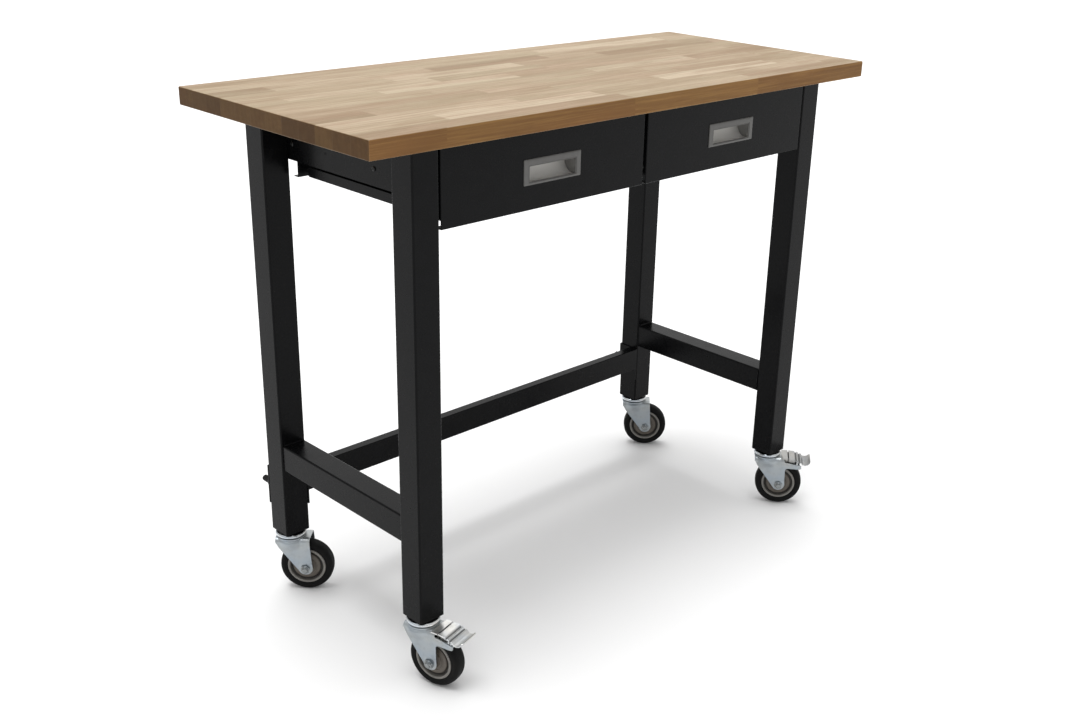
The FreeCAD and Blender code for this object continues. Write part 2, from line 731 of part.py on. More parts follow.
def make_drawer_front(drawer):
    """Folded pan: a face with returns and lips, cut out for the pull, open at its lower back corners."""
    body = new_body(f"drawer_{drawer}_front")
    left, right = drawer_span(drawer)
    sheet = d.front_sheet
    block = sketch_on(body, "XZ_Plane", -frame_front_y)
    rectangle(block, left, front_bottom, right, front_top)
    pad(body, block, d.front_return, backwards=True)

    def folded(middle, edge):
        return near(middle.y, frame_front_y) or (along(edge, 1) and middle.y < front_back_y.value)

    soften(body, "Fillet", sheet, folded)
    cavity = sketch_on(body, "XZ_Plane", -(front_back_y - sheet))
    rectangle(cavity, left + sheet, front_bottom + sheet, right - sheet, front_top - sheet)
    pocket(body, cavity, d.front_return - 2 * sheet, backwards=True)
    mouth = sketch_on(body, "XZ_Plane", -front_back_y)
    lip, side_lip = sheet + d.front_lip, sheet + d.front_side_lip
    rectangle(mouth, left + side_lip, front_bottom + lip, right - side_lip, front_top - lip)
    pocket(body, mouth, 2 * sheet, backwards=True)
    reliefs = ((d.front_relief, 2 * sheet, d.front_return - sheet),
               (d.front_lip, d.front_lip_relief, 1.5 * sheet))
    for height, width, depth in reliefs:
        relief = sketch_on(body, "XZ_Plane", -front_back_y)
        for edge, inward in ((left, 1), (right, -1)):
            rectangle(relief, edge - inward * sheet, front_bottom + sheet,
                      edge + inward * width, front_bottom + sheet + height)
        pocket(body, relief, depth, backwards=True)
    centre = pull_centre_x(drawer)
    window = sketch_on(body, "XZ_Plane", -frame_front_y)
    half, reach = d.scoop_width / 2 + d.scoop_wall, d.scoop_radius + d.scoop_wall
    rectangle(window, centre - half, scoop_z - reach, centre + half, scoop_z + reach)
    pocket(body, window, 2 * sheet, symmetric=True)
    side_holes = sketch_on(body, "YZ_Plane", centre)
    circle(side_holes, front_side_screw_y, front_side_screw_z, d.front_screw_shank / 2)
    pocket(body, side_holes, 2 * d.top_depth, symmetric=True)
    back_holes = sketch_on(body, "XZ_Plane", -front_back_y)
    for x, z in tray_screw_places(drawer):
        circle(back_holes, x, z, d.front_screw_shank / 2)
    pocket(body, back_holes, 2 * sheet, symmetric=True)
    return keep(body)


front_side_screw_y = frame_front_y + d.front_return / 2
front_side_screw_z = top_under - d.front_side_screw_drop


def tray_screw_places(drawer):
    """Where the tray's front wall is screwed to the upper and lower lips of the drawer front."""
    left, right = tray_span(drawer)
    upper = (front_top - d.front_sheet - d.front_lip + tray_bottom + d.tray_height) / 2
    lower = (front_bottom + d.front_sheet + d.front_lip + tray_bottom + d.tray_sheet) / 2
    return [(left + (right - left) * part, z) for z in (upper, lower) for part in (0.1, 0.9)]


def make_tray(drawer):
    body = new_body(f"drawer_{drawer}_tray")
    left, right = tray_span(drawer)
    sheet = d.tray_sheet
    back = middle_y + d.tray_back_y
    block = sketch_on(body, "XY_Plane", tray_bottom)
    rectangle(block, left, front_back_y, right, back)
    pad(body, block, d.tray_height)
    hem = sketch_on(body, "XY_Plane", tray_bottom + d.tray_height - sheet)
    rectangle(hem, left - d.tray_hem, front_back_y, right + d.tray_hem, back)
    pad(body, hem, sheet)
    inside = sketch_on(body, "XY_Plane", tray_bottom + sheet)
    rectangle(inside, left + sheet, front_back_y + sheet, right - sheet, back - sheet)
    pocket(body, inside, d.tray_height, backwards=True)
    window = sketch_on(body, "XZ_Plane", -front_back_y)
    half, reach = d.scoop_width / 2 + 2 * d.scoop_wall, d.scoop_radius + 2 * d.scoop_wall
    centre = pull_centre_x(drawer)
    rectangle(window, centre - half, scoop_z - reach, centre + half, scoop_z + reach)
    pocket(body, window, 4 * sheet, symmetric=True)
    holes = sketch_on(body, "XZ_Plane", -front_back_y)
    for x, z in tray_screw_places(drawer):
        circle(holes, x, z, d.front_screw_shank / 2)
    pocket(body, holes, 4 * sheet, symmetric=True)
    return keep(body)


def make_skirts(drawer):
    """Angles along the tray's lower edges: each stands out under its runner and turns up, just below the case."""
    body = new_body(f"drawer_{drawer}_skirts")
    tray_left, tray_right = tray_span(drawer)
    front_left, front_right = drawer_span(drawer)
    foot = top_under - d.skirt_foot_drop
    sheet = d.tray_sheet
    sketch = sketch_on(body, "XZ_Plane", -front_back_y)
    for tray_edge, front_edge, outward in ((tray_left, front_left, -1), (tray_right, front_right, 1)):
        tip = front_edge - outward * d.skirt_reach
        outline(sketch, [(tray_edge, foot), (tip, foot), (tip, foot + d.skirt_height),
                         (tip - outward * sheet, foot + d.skirt_height), (tip - outward * sheet, foot + sheet),
                         (tray_edge, foot + sheet)])
    pad(body, sketch, d.skirt_length, backwards=True)
    return keep(body)


def make_drawer_screws(drawer):
    """The drawer's round-headed screws: one in each side of the front, four through the tray's front wall."""
    left, right = drawer_span(drawer)
    size = (d.front_screw_head, d.front_screw_head_height, d.front_screw_shank, d.front_screw_length)
    shapes = []
    for tag, x, towards in (("left", left, "+x"), ("right", right, "-x")):
        at = (x, front_side_screw_y, front_side_screw_z)
        shapes.append(screw(f"drawer_{drawer}_side_screw_{tag}", at, towards, *size))
    for number, (x, z) in enumerate(tray_screw_places(drawer)):
        at = (x, front_back_y + d.tray_sheet, z)
        shapes.append(screw(f"drawer_{drawer}_tray_screw_{number}", at, "-y", *size))
    return group(f"drawer_{drawer}_screws", shapes)


def scoop_outline(sketch, radius):
    """A trough seen from its end: open at the drawer's face, level above and below, with a half-round back."""
    face_y = frame_front_y - d.pull_plate
    tongue_outline(sketch, [(frame_front_y, scoop_z - radius)], (face_y + d.scoop_centre_depth, scoop_z), radius,
                   [(frame_front_y, scoop_z + radius)])


def make_pull(drawer):
    """Recessed pull: a bevelled plate with a window, and a round-backed scoop that reaches up behind the plate."""
    body = new_body(f"drawer_{drawer}_pull")
    centre = pull_centre_x(drawer)
    half_x, half_z = d.pull_width / 2, d.pull_height / 2
    plate = sketch_on(body, "XZ_Plane", -frame_front_y)
    rectangle(plate, centre - half_x, pull_z - half_z, centre + half_x, pull_z + half_z)
    pad(body, plate, d.pull_plate)
    face_y = frame_front_y - d.pull_plate
    soften(body, "Chamfer", d.pull_bevel, lambda middle, edge: near(middle.y, face_y))
    shell = sketch_on(body, "YZ_Plane", centre)
    scoop_outline(shell, d.scoop_radius + d.scoop_wall)
    pad(body, shell, d.scoop_width + 2 * d.scoop_wall, symmetric=True)
    hollow = sketch_on(body, "YZ_Plane", centre)
    scoop_outline(hollow, d.scoop_radius)
    pocket(body, hollow, d.scoop_width, symmetric=True)
    half_window, top = d.scoop_width / 2, pull_z + d.window_rise
    window = sketch_on(body, "XZ_Plane", -frame_front_y)
    rectangle(window, centre - half_window, top - d.window_height, centre + half_window, top)
    pocket(body, window, 3 * d.pull_plate, symmetric=True)
    rim = (half_window + d.pull_bevel).value

    def window_edge(middle, edge):
        return near(middle.y, face_y) and abs(middle.x - centre.value) < rim and abs(middle.z - pull_z.value) < 16

    soften(body, "Fillet", d.window_edge, window_edge)
    return keep(body)


# ---------------------------------------------------------------- casters
# A caster is drawn with its swivel axis on Z, its wheel trailing towards +X, the floor at z = 0; then turned.

axle_z = d.wheel_diameter / 2


def stand(body, corner, ahead=0, up=0):
    """Put a caster piece under its leg, turned with the caster; ahead and up move it inside the caster."""
    turn = getattr(d, f"turn_{corner}")
    x, y = leg_centre(corner)
    place(body, x + as_size(ahead) * cosine(turn), y + as_size(ahead) * sine(turn), up, turn=turn)


def make_caster_mount(corner):
    """Threaded stem, upper ball race and kingpin in one turned piece; the fork turns on the kingpin."""
    body = new_body(f"caster_{corner}_mount")
    pin, stem = d.kingpin_diameter / 2, d.stem_diameter / 2
    crown_under = d.fork_top - d.fork_crown
    race = d.fork_top + 4.5
    sketch = sketch_on(body, "XZ_Plane")
    outline(sketch, [(0, crown_under - 3.3), (9.5, crown_under - 3.3), (9.5, crown_under - 0.3),
                     (pin, crown_under - 0.3), (pin, race), (27, race), (29, race + 1.2), (29, race + 5.5),
                     (27, race + 7.5), (22, race + 8.5), (20, leg_bottom), (stem, leg_bottom),
                     (stem, leg_bottom + d.stem_length), (0, leg_bottom + d.stem_length)])
    revolve(body, sketch)
    stand(body, corner)
    return keep(body)


def make_fork(corner, braked):
    """Pressed fork: two cheeks under a crown, a dished ball race, and on a braked caster ears for the pedal."""
    body = new_body(f"caster_{corner}_fork")
    top, trail = d.fork_top, d.caster_trail
    sketch = sketch_on(body, "XZ_Plane")
    nose = [(-d.fork_nose, top), (-d.fork_nose / 2, 84)]
    tail = [(trail + 10.5, 88), (trail + 9.5, top)]
    if braked:
        pin_x, pin_z = d.stop_pin_x, d.stop_pin_z
        tail = [(trail + 12, 89), (pin_x - 3, pin_z - 5.5), (pin_x + 2.5, pin_z - 5), (pin_x + 5, pin_z - 2.5),
                (pin_x + 5, pin_z + 2.5), (pin_x + 2, pin_z + 5), (trail + 9.5, top - 5), (trail + 9.5, top)]
    tongue_outline(sketch, nose, (trail, axle_z), d.fork_tip_radius, tail)
    pad(body, sketch, d.fork_width, symmetric=True)
    slot = sketch_on(body, "XZ_Plane")
    rectangle(slot, -60, 0, trail + 60, top - d.fork_crown)
    pocket(body, slot, d.fork_width - 2 * d.fork_sheet, symmetric=True)
    soften(body, "Fillet", 4, lambda middle, edge: near(middle.z, top) and along(edge, 0))
    dish = sketch_on(body, "XZ_Plane")
    pin = d.kingpin_hole / 2
    crown_under, rim_top = top - d.fork_crown, top + 4.1
    outline(dish, [(pin, crown_under), (22, crown_under), (27.5, top - 0.5), (27.5, top + 2.5),
                   (25.5, rim_top), (pin, rim_top)])
    revolve(body, dish)
    bore = sketch_on(body, "XY_Plane", top)
    circle(bore, 0, 0, pin)
    pocket(body, bore, 2 * d.fork_crown, symmetric=True)
    axle = sketch_on(body, "XZ_Plane")
    circle(axle, trail, axle_z, d.axle_diameter / 2)
    if braked:
        circle(axle, d.pedal_pivot_x, d.pedal_pivot_z, d.pivot_diameter / 2)
        circle(axle, d.stop_pin_x, d.stop_pin_z, d.pivot_diameter / 2)
    pocket(body, axle, 2 * d.fork_width, symmetric=True)
    stand(body, corner)
    return keep(body)


def make_axle(corner):
    """Axle bolt with its spacer tube, washers and nut; the thread's end stands out past the nut."""
    name = f"caster_{corner}_axle"
    cheek = d.fork_width / 2
    inner_cheek = cheek - d.fork_sheet
    bolt_end = cheek + d.washer_thickness + d.axle_nut_height + d.axle_end
    shapes = [
        fused(f"{name}_bolt", [
            cylinder(f"{name}_shank", d.axle_diameter, cheek + bolt_end, (0, cheek, 0), "-y"),
            cylinder(f"{name}_spacer", d.spacer_diameter, 2 * inner_cheek, (0, inner_cheek, 0), "-y"),
            hexagon(f"{name}_head", d.axle_flats, d.axle_head_height, (0, cheek, 0), "+y")]),
        drilled(f"{name}_washer",
                cylinder(f"{name}_washer_disc", d.washer_diameter, d.washer_thickness, (0, -cheek, 0), "-y"),
                cylinder(f"{name}_washer_hole", d.axle_diameter, d.washer_thickness, (0, -cheek, 0), "-y")),
        drilled(f"{name}_nut",
                hexagon(f"{name}_nut_solid", d.axle_flats, d.axle_nut_height,
                        (0, -cheek - d.washer_thickness, 0), "-y"),
                cylinder(f"{name}_nut_hole", d.axle_diameter, d.axle_nut_height,
                         (0, -cheek - d.washer_thickness, 0), "-y")),
    ]
    axle = group(name, shapes)
    stand(axle, corner, ahead=d.caster_trail, up=axle_z)
    return axle


def make_hub(corner):
    """Wheel centre: bearing tube, dished web, and a lipped rim that the tyre is bonded to."""
    body = new_body(f"caster_{corner}_hub")
    bore, rim = d.hub_bore / 2, d.rim_diameter / 2
    end, lip = d.hub_length / 2, d.tread_width / 2 - 1
    half = [(bore, end), (13, end), (15, end - 4.5), (26, end - 6), (27.5, 7), (rim - 5, 6), (rim - 4, lip),
            (rim, lip)]
    sketch = sketch_on(body, "XY_Plane")
    outline(sketch, half + [(x, -as_size(y)) for x, y in half[::-1]])
    revolve(body, sketch)
    stand(body, corner, ahead=d.caster_trail, up=axle_z)
    return keep(body)


def make_tyre(corner):
    body = new_body(f"caster_{corner}_tyre")
    rim, tread, half = d.rim_diameter / 2, d.wheel_diameter / 2, d.tread_width / 2
    sketch = sketch_on(body, "XY_Plane")
    rectangle(sketch, rim, -half, tread, half)
    revolve(body, sketch)
    soften(body, "Fillet", d.tyre_shoulder,
           lambda middle, edge: near(math.hypot(middle.x, middle.z), tread) and near(abs(middle.y), half)
           and len(edge.Vertexes) < 2)
    stand(body, corner, ahead=d.caster_trail, up=axle_z)
    return keep(body)


def pedal_plates():
    """Upper lines of the pedal's two plates in side view: a flat cover, then the ridged foot plate."""
    flat = d.fork_top + d.pedal_lift
    cover = [(31, flat), (44.8, flat)]
    foot = [(47.2, flat), (60.5, flat - 1), (63.5, flat - 3.8), (66, flat - 3.2), (69.5, flat - 6.6),
            (72, flat - 6), (76.5, flat - 10), (82.5, flat - 11), (87.5, flat - 9.2), (95, flat - 3.5)]
    return cover, foot


def make_pedal(corner):
    """Brake pedal: two lugs that turn on the pivots in the ears carry its two plates and the brake shoe."""
    body = new_body(f"caster_{corner}_pedal")
    pivot = (d.pedal_pivot_x, d.pedal_pivot_z)
    under = d.fork_top + d.pedal_lift - d.pedal_sheet + 0.3
    lug_middle = d.lug_inner + d.lug_sheet / 2
    for hand in (-1, 1):
        lug = sketch_on(body, "XZ_Plane", hand * lug_middle - d.lug_sheet / 2)
        low = d.fork_top + 0.8
        tongue_outline(lug, [(33, under), (33, low), (pivot[0] - 6.8, low)], pivot, 5.5,
                       [(pivot[0] + 14, pivot[1] - 3), (pivot[0] + 14, under)])
        pad(body, lug, d.lug_sheet)
    bar = sketch_on(body, "XZ_Plane")
    outline(bar, [(55, 101), (60, 101), (60, 105), (55, 105)])
    pad(body, bar, 2 * d.lug_inner + d.lug_sheet, symmetric=True)
    plates = pedal_plates()
    for upper in plates:
        lower = [(x, z - d.pedal_sheet) for x, z in upper]
        sheet = sketch_on(body, "XZ_Plane")
        outline(sheet, upper + lower[::-1])
        pad(body, sheet, d.pedal_width, symmetric=True)
    corners = sketch_on(body, "XY_Plane")
    tip_x, side_y = plates[1][-1][0], d.pedal_width / 2
    for hand in (-1, 1):
        outline(corners, [(tip_x - d.pedal_corner, hand * side_y), (tip_x, hand * (side_y - d.pedal_corner)),
                          (tip_x, hand * side_y)])
    pocket(body, corners, 2 * d.caster_height, symmetric=True)
    shoe = sketch_on(body, "XZ_Plane")
    outline(shoe, [(58, 93.2), (62, 91), (65, 91.6), (66, under - 7.2), (60, under), (56, under),
                   (58, under - 6)])
    pad(body, shoe, d.shoe_width, symmetric=True)
    bore = sketch_on(body, "XZ_Plane")
    circle(bore, *pivot, d.pivot_diameter / 2 + 0.05)
    pocket(body, bore, 2 * d.fork_width, symmetric=True)
    stand(body, corner)
    return keep(body)


def make_pedal_pivots(corner):
    """Rivets in the fork's ears: two short ones that the pedal turns on, and a stop pin right across."""
    name = f"caster_{corner}_pedal_pivots"
    half, diameter = d.fork_width / 2, d.pivot_diameter
    inner = d.lug_inner - 0.5
    rivets = []
    for hand, towards in ((-1, "-y"), (1, "+y")):
        at = (d.pedal_pivot_x, hand * inner, d.pedal_pivot_z)
        head_at = (d.pedal_pivot_x, hand * half, d.pedal_pivot_z)
        stem = cylinder(f"{name}_stem_{hand}", diameter, half - inner, at, towards)
        head = cylinder(f"{name}_head_{hand}", diameter + 4, 1.5, head_at, towards)
        rivets.append(fused(f"{name}_rivet_{hand}", [stem, head]))
    pin_at = (d.stop_pin_x, -half, d.stop_pin_z)
    pin = [cylinder(f"{name}_pin", diameter, 2 * half, pin_at, "+y")]
    for hand, towards in ((-1, "-y"), (1, "+y")):
        head_at = (d.stop_pin_x, hand * half, d.stop_pin_z)
        pin.append(cylinder(f"{name}_pin_head_{hand}", diameter + 3, 1.5, head_at, towards))
    pivots = group(name, [*rivets, fused(f"{name}_stop_pin", pin)])
    stand(pivots, corner)
    return pivots


# ---------------------------------------------------------------- the whole bench

def build():
    make_worktop()
    make_worktop_screws()
    for corner in CORNERS:
        make_leg(corner)
    make_leg_plates("leg_cap_plates", top_under - d.cap_thickness, d.cap_thickness)
    make_leg_plates("leg_foot_plates", leg_bottom, d.foot_thickness, hole=d.stem_diameter)
    make_stretcher()
    make_stretcher_studs()
    for name in SIDES:
        make_end_rail(name)
        make_bracket(name)
        make_case_side(name)
    make_divider()
    make_case_back()
    make_case_screws()
    for drawer in SIDES:
        for member in ("outer", "middle", "inner"):
            make_runner(drawer, member)
        make_drawer_front(drawer)
        make_tray(drawer)
        make_skirts(drawer)
        make_drawer_screws(drawer)
        make_pull(drawer)
    for corner, (side, end) in CORNERS.items():
        make_caster_mount(corner)
        make_fork(corner, braked=end < 0)
        make_axle(corner)
        make_hub(corner)
        make_tyre(corner)
        if end < 0:
            make_pedal(corner)
            make_pedal_pivots(corner)
    doc.recompute()


def check():
    """Stop unless every object of the document is sound."""
    for thing in doc.Objects:
        if {"Invalid", "Error"} & set(thing.State):
            raise ValueError(f"{thing.Label} failed: {thing.State}")
    for node in nodes:
        if node.Shape.isNull() or not node.Shape.isValid():
            raise ValueError(f"{node.Label} has no valid shape")


def export():
    os.makedirs("parts", exist_ok=True)
    for node in nodes:
        node.Shape.exportStep(f"parts/{node.Label}.step")


build()
check()
export()
box = FreeCAD.BoundBox()
for node in nodes:
    box.add(node.Shape.BoundBox)
print(f"{len(nodes)} nodes, box {box}")
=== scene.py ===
"""Looks of the mobile workbench: a material for every CAD node, and detailed pieces for casters, pulls and fasteners.

Objects are in metres in the CAD frame, +Z up. Outlines, profiles and sizes of pieces are in millimetres and become
metres where a vertex is made. Lengths in materials are in metres, unless a comment says otherwise.
"""
import bpy
import bmesh
import json
import math
from mathutils import Matrix, Vector
from mathutils.geometry import delaunay_2d_cdt


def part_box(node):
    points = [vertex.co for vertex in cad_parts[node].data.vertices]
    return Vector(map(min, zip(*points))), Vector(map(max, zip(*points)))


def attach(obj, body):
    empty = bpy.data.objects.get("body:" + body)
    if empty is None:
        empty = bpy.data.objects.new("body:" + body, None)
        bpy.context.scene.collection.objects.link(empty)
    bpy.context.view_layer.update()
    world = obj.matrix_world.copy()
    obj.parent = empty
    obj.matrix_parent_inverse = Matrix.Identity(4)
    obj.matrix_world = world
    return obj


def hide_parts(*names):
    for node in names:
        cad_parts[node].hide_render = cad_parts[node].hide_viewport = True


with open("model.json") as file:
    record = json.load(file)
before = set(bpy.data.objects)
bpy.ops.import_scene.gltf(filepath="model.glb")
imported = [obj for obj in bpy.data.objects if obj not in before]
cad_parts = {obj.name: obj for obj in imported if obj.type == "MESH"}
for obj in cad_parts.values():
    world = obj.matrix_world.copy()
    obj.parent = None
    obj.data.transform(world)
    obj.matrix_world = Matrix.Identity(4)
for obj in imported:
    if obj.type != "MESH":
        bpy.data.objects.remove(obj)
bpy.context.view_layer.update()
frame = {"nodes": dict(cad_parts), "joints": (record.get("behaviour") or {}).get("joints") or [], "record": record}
record = frame["record"]
nodes = frame["nodes"]

MM = 0.001
CORNERS = ("front_left", "front_right", "rear_left", "rear_right")
SIDES = ("left", "right")
TOP_LOW, TOP_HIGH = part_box("worktop")
MIDDLE_Y = (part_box("leg_front_left")[0][1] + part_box("leg_rear_left")[1][1]) / 2
LEG_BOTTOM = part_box("leg_front_left")[0][2] / MM


# ------------ material building

class Nodes:
    """A node tree under construction: short calls add nodes and return their output sockets."""

    def __init__(self, tree):
        self.tree = tree

    def feed(self, socket, value):
        """Link an output socket to an input socket, or set the input's own value; a colour is (r, g, b)."""
        if isinstance(value, bpy.types.NodeSocket):
            self.tree.links.new(value, socket)
        else:
            socket.default_value = (*value, 1) if socket.type == "RGBA" else value

    def add(self, kind, inputs=(), **settings):
        """Add a node; inputs maps socket names or numbers to a value or an output socket."""
        node = self.tree.nodes.new(kind)
        for key, value in settings.items():
            setattr(node, key, value)
        for key, value in dict(inputs).items():
            if value is not None:
                self.feed(node.inputs[key], value)
        return node

    def math(self, operation, first, second=None, third=None):
        """One step of arithmetic."""
        return self.add("ShaderNodeMath", {0: first, 1: second, 2: third}, operation=operation).outputs[0]

    def total(self, *terms):
        """The sum of values, each times its weight."""
        result = 0.0
        for value, weight in terms:
            result = self.math("MULTIPLY_ADD", value, weight, result)
        return result

    def reach(self, first, second):
        """The length of a flat vector, from its two coordinates."""
        return self.math("SQRT", self.math("MULTIPLY_ADD", first, first, self.math("MULTIPLY", second, second)))

    def vector(self, operation, first, second, output="Vector"):
        """One step of vector arithmetic."""
        return self.add("ShaderNodeVectorMath", {0: first, 1: second}, operation=operation).outputs[output]

    def split(self, vector):
        """The three coordinates of a vector, or channels of a colour."""
        return self.add("ShaderNodeSeparateXYZ", {0: vector}).outputs

    def join(self, x, y, z):
        """A vector from its coordinates."""
        return self.add("ShaderNodeCombineXYZ", {0: x, 1: y, 2: z}).outputs[0]

    def span(self, value, low, high, to_low=0.0, to_high=1.0, smooth=False):
        """Map a range of a value onto another, held at both ends."""
        inputs = {"Value": value, "From Min": low, "From Max": high, "To Min": to_low, "To Max": to_high}
        kind = "SMOOTHSTEP" if smooth else "LINEAR"
        return self.add("ShaderNodeMapRange", inputs, interpolation_type=kind, clamp=True).outputs[0]

    def ramp(self, value, *stops):
        """Colours along a value from 0 to 1; each stop is (position, (r, g, b))."""
        node = self.add("ShaderNodeValToRGB", {"Fac": value})
        elements = node.color_ramp.elements
        for position, _ in stops[2:]:
            elements.new(position)
        for element, (position, colour) in zip(elements, stops):
            element.position = position
            element.color = (*colour, 1)
        return node.outputs["Color"]

    def mix(self, share, first, second, blend="MIX"):
        """Blend two colours; share 0 gives the first."""
        inputs = {0: share, 6: first, 7: second}
        return self.add("ShaderNodeMix", inputs, data_type="RGBA", blend_type=blend).outputs[2]

    def bump(self, height, distance, strength):
        """A normal tilted by a height."""
        inputs = {"Height": height, "Distance": distance, "Strength": strength}
        return self.add("ShaderNodeBump", inputs).outputs["Normal"]


class Shader(Nodes):
    """A material under construction round one Principled shader."""

    def __init__(self, name, viewport):
        self.material = bpy.data.materials.new(name)
        self.material.use_nodes = True
        self.material.diffuse_color = (*viewport, 1)
        super().__init__(self.material.node_tree)
        self.tree.nodes.clear()
        output = self.add("ShaderNodeOutputMaterial")
        self.surface = self.add("ShaderNodeBsdfPrincipled")
        self.feed(output.inputs["Surface"], self.surface.outputs["BSDF"])
        self.place = self.add("ShaderNodeTexCoord").outputs["Object"]

    def stretched(self, x, y, z):
        """The place on the object, scaled along each axis."""
        return self.vector("MULTIPLY", self.place, (x, y, z))

    def noise(self, vector=None, scale=1.0, detail=2.0, roughness=0.5, distortion=0.0):
        """Soft noise from 0 to 1, over the object unless a vector is given."""
        inputs = {"Vector": self.place if vector is None else vector, "Scale": scale, "Detail": detail,
                  "Roughness": roughness, "Distortion": distortion}
        return self.add("ShaderNodeTexNoise", inputs).outputs["Fac"]

    def set(self, **values):
        """Set or link the Principled shader's sockets, named with underscores for spaces."""
        for key, value in values.items():
            self.feed(self.surface.inputs[key.replace("_", " ")], value)
        return self.material


# ------------ materials

STAVE_WIDTH = 0.0425
STAVE_LENGTH = 0.33
ROW_STAGGER = 7.37    # staves that each row is moved on by, so that their ends never line up
GLUE_LINE = 0.0006
LOG_ASIDE = 0.045    # a stave's log centre is up to this far to either side of it
LOG_DEPTH, LOG_SPREAD = 0.012, 0.07    # and under the board's middle by the first, or up to the second more
RING_DENSITY = 250

STAVE_TONES = ((0.0, (0.262, 0.178, 0.104)), (0.18, (0.340, 0.247, 0.156)), (0.42, (0.398, 0.304, 0.200)),
               (0.82, (0.456, 0.358, 0.246)), (1.0, (0.580, 0.480, 0.348)))
GREENISH, ROSY = (0.385, 0.325, 0.210), (0.455, 0.318, 0.222)
LIGHT_STREAK, DARK_STREAK = (0.550, 0.452, 0.320), (0.255, 0.172, 0.096)
GRAIN, CLOUD, PORE = (0.240, 0.160, 0.085), (0.270, 0.180, 0.100), (0.15, 0.09, 0.05)
# the side multiply is painted shade on the long edges; the end multiply is end-grain oil and painted shade
SIDE_DARK, SIDE_GOLD, SIDE_SHADE = (0.250, 0.165, 0.090), (0.640, 0.560, 0.400), (0.68, 0.43, 0.165)
END_RING, END_STAIN, END_OIL_AND_SHADE = (0.56, 0.45, 0.30), (0.20, 0.13, 0.07), (0.245, 0.165, 0.078)
GLUE, WOOD_LEVEL = (0.16, 0.10, 0.055), (0.90, 0.90, 0.90)


def lay_staves(s, x, y):
    """Staves end to end: the row, each stave's random colour, and a seam that is 0 on glue and 1 on wood."""
    row_place = s.math("DIVIDE", s.math("SUBTRACT", y, TOP_LOW[1]), STAVE_WIDTH)
    row = s.math("FLOOR", row_place)
    along = s.math("ADD", s.math("DIVIDE", x, STAVE_LENGTH), s.math("MULTIPLY", row, ROW_STAGGER))
    cell, edge = (s.add("ShaderNodeTexVoronoi", {"W": along, "Scale": 1.0, "Randomness": 0.8},
                        voronoi_dimensions="1D", feature=feature) for feature in ("F1", "DISTANCE_TO_EDGE"))
    in_row = s.math("FRACT", row_place)
    side_gap = s.math("MULTIPLY", s.math("MINIMUM", in_row, s.math("SUBTRACT", 1.0, in_row)), STAVE_WIDTH)
    end_gap = s.math("MULTIPLY", edge.outputs["Distance"], STAVE_LENGTH)
    return row, cell.outputs["Color"], s.span(s.math("MINIMUM", side_gap, end_gap), 0.0, GLUE_LINE)


def growth_rings(s, place, row, chance, strength):
    """Rings round a log centre that differs by stave, from its three random numbers, bent along the board."""
    x, y, z = place
    tone, lean, spare = chance
    bend = s.noise(s.join(s.math("MULTIPLY", x, 2.2), s.math("MULTIPLY", lean, 40), s.math("MULTIPLY", tone, 40)),
                   detail=3.0, roughness=0.55)
    across = s.math("ADD", s.math("SUBTRACT", y, s.math("MULTIPLY", row, STAVE_WIDTH)),
                    s.math("MULTIPLY_ADD", lean, 2 * LOG_ASIDE, -LOG_ASIDE))
    depth = s.math("ADD", s.math("SUBTRACT", z, (TOP_LOW[2] + TOP_HIGH[2]) / 2),
                   s.math("MULTIPLY_ADD", spare, LOG_SPREAD, LOG_DEPTH))
    wobble = s.noise(s.stretched(9, 55, 55), detail=3.0)
    rings_at = s.total((s.reach(across, depth), RING_DENSITY), (bend, 9.0), (wobble, 3.4))
    return s.math("MULTIPLY_ADD", s.math("SINE", s.math("MULTIPLY", rings_at, 2.4)), strength, 0.5)


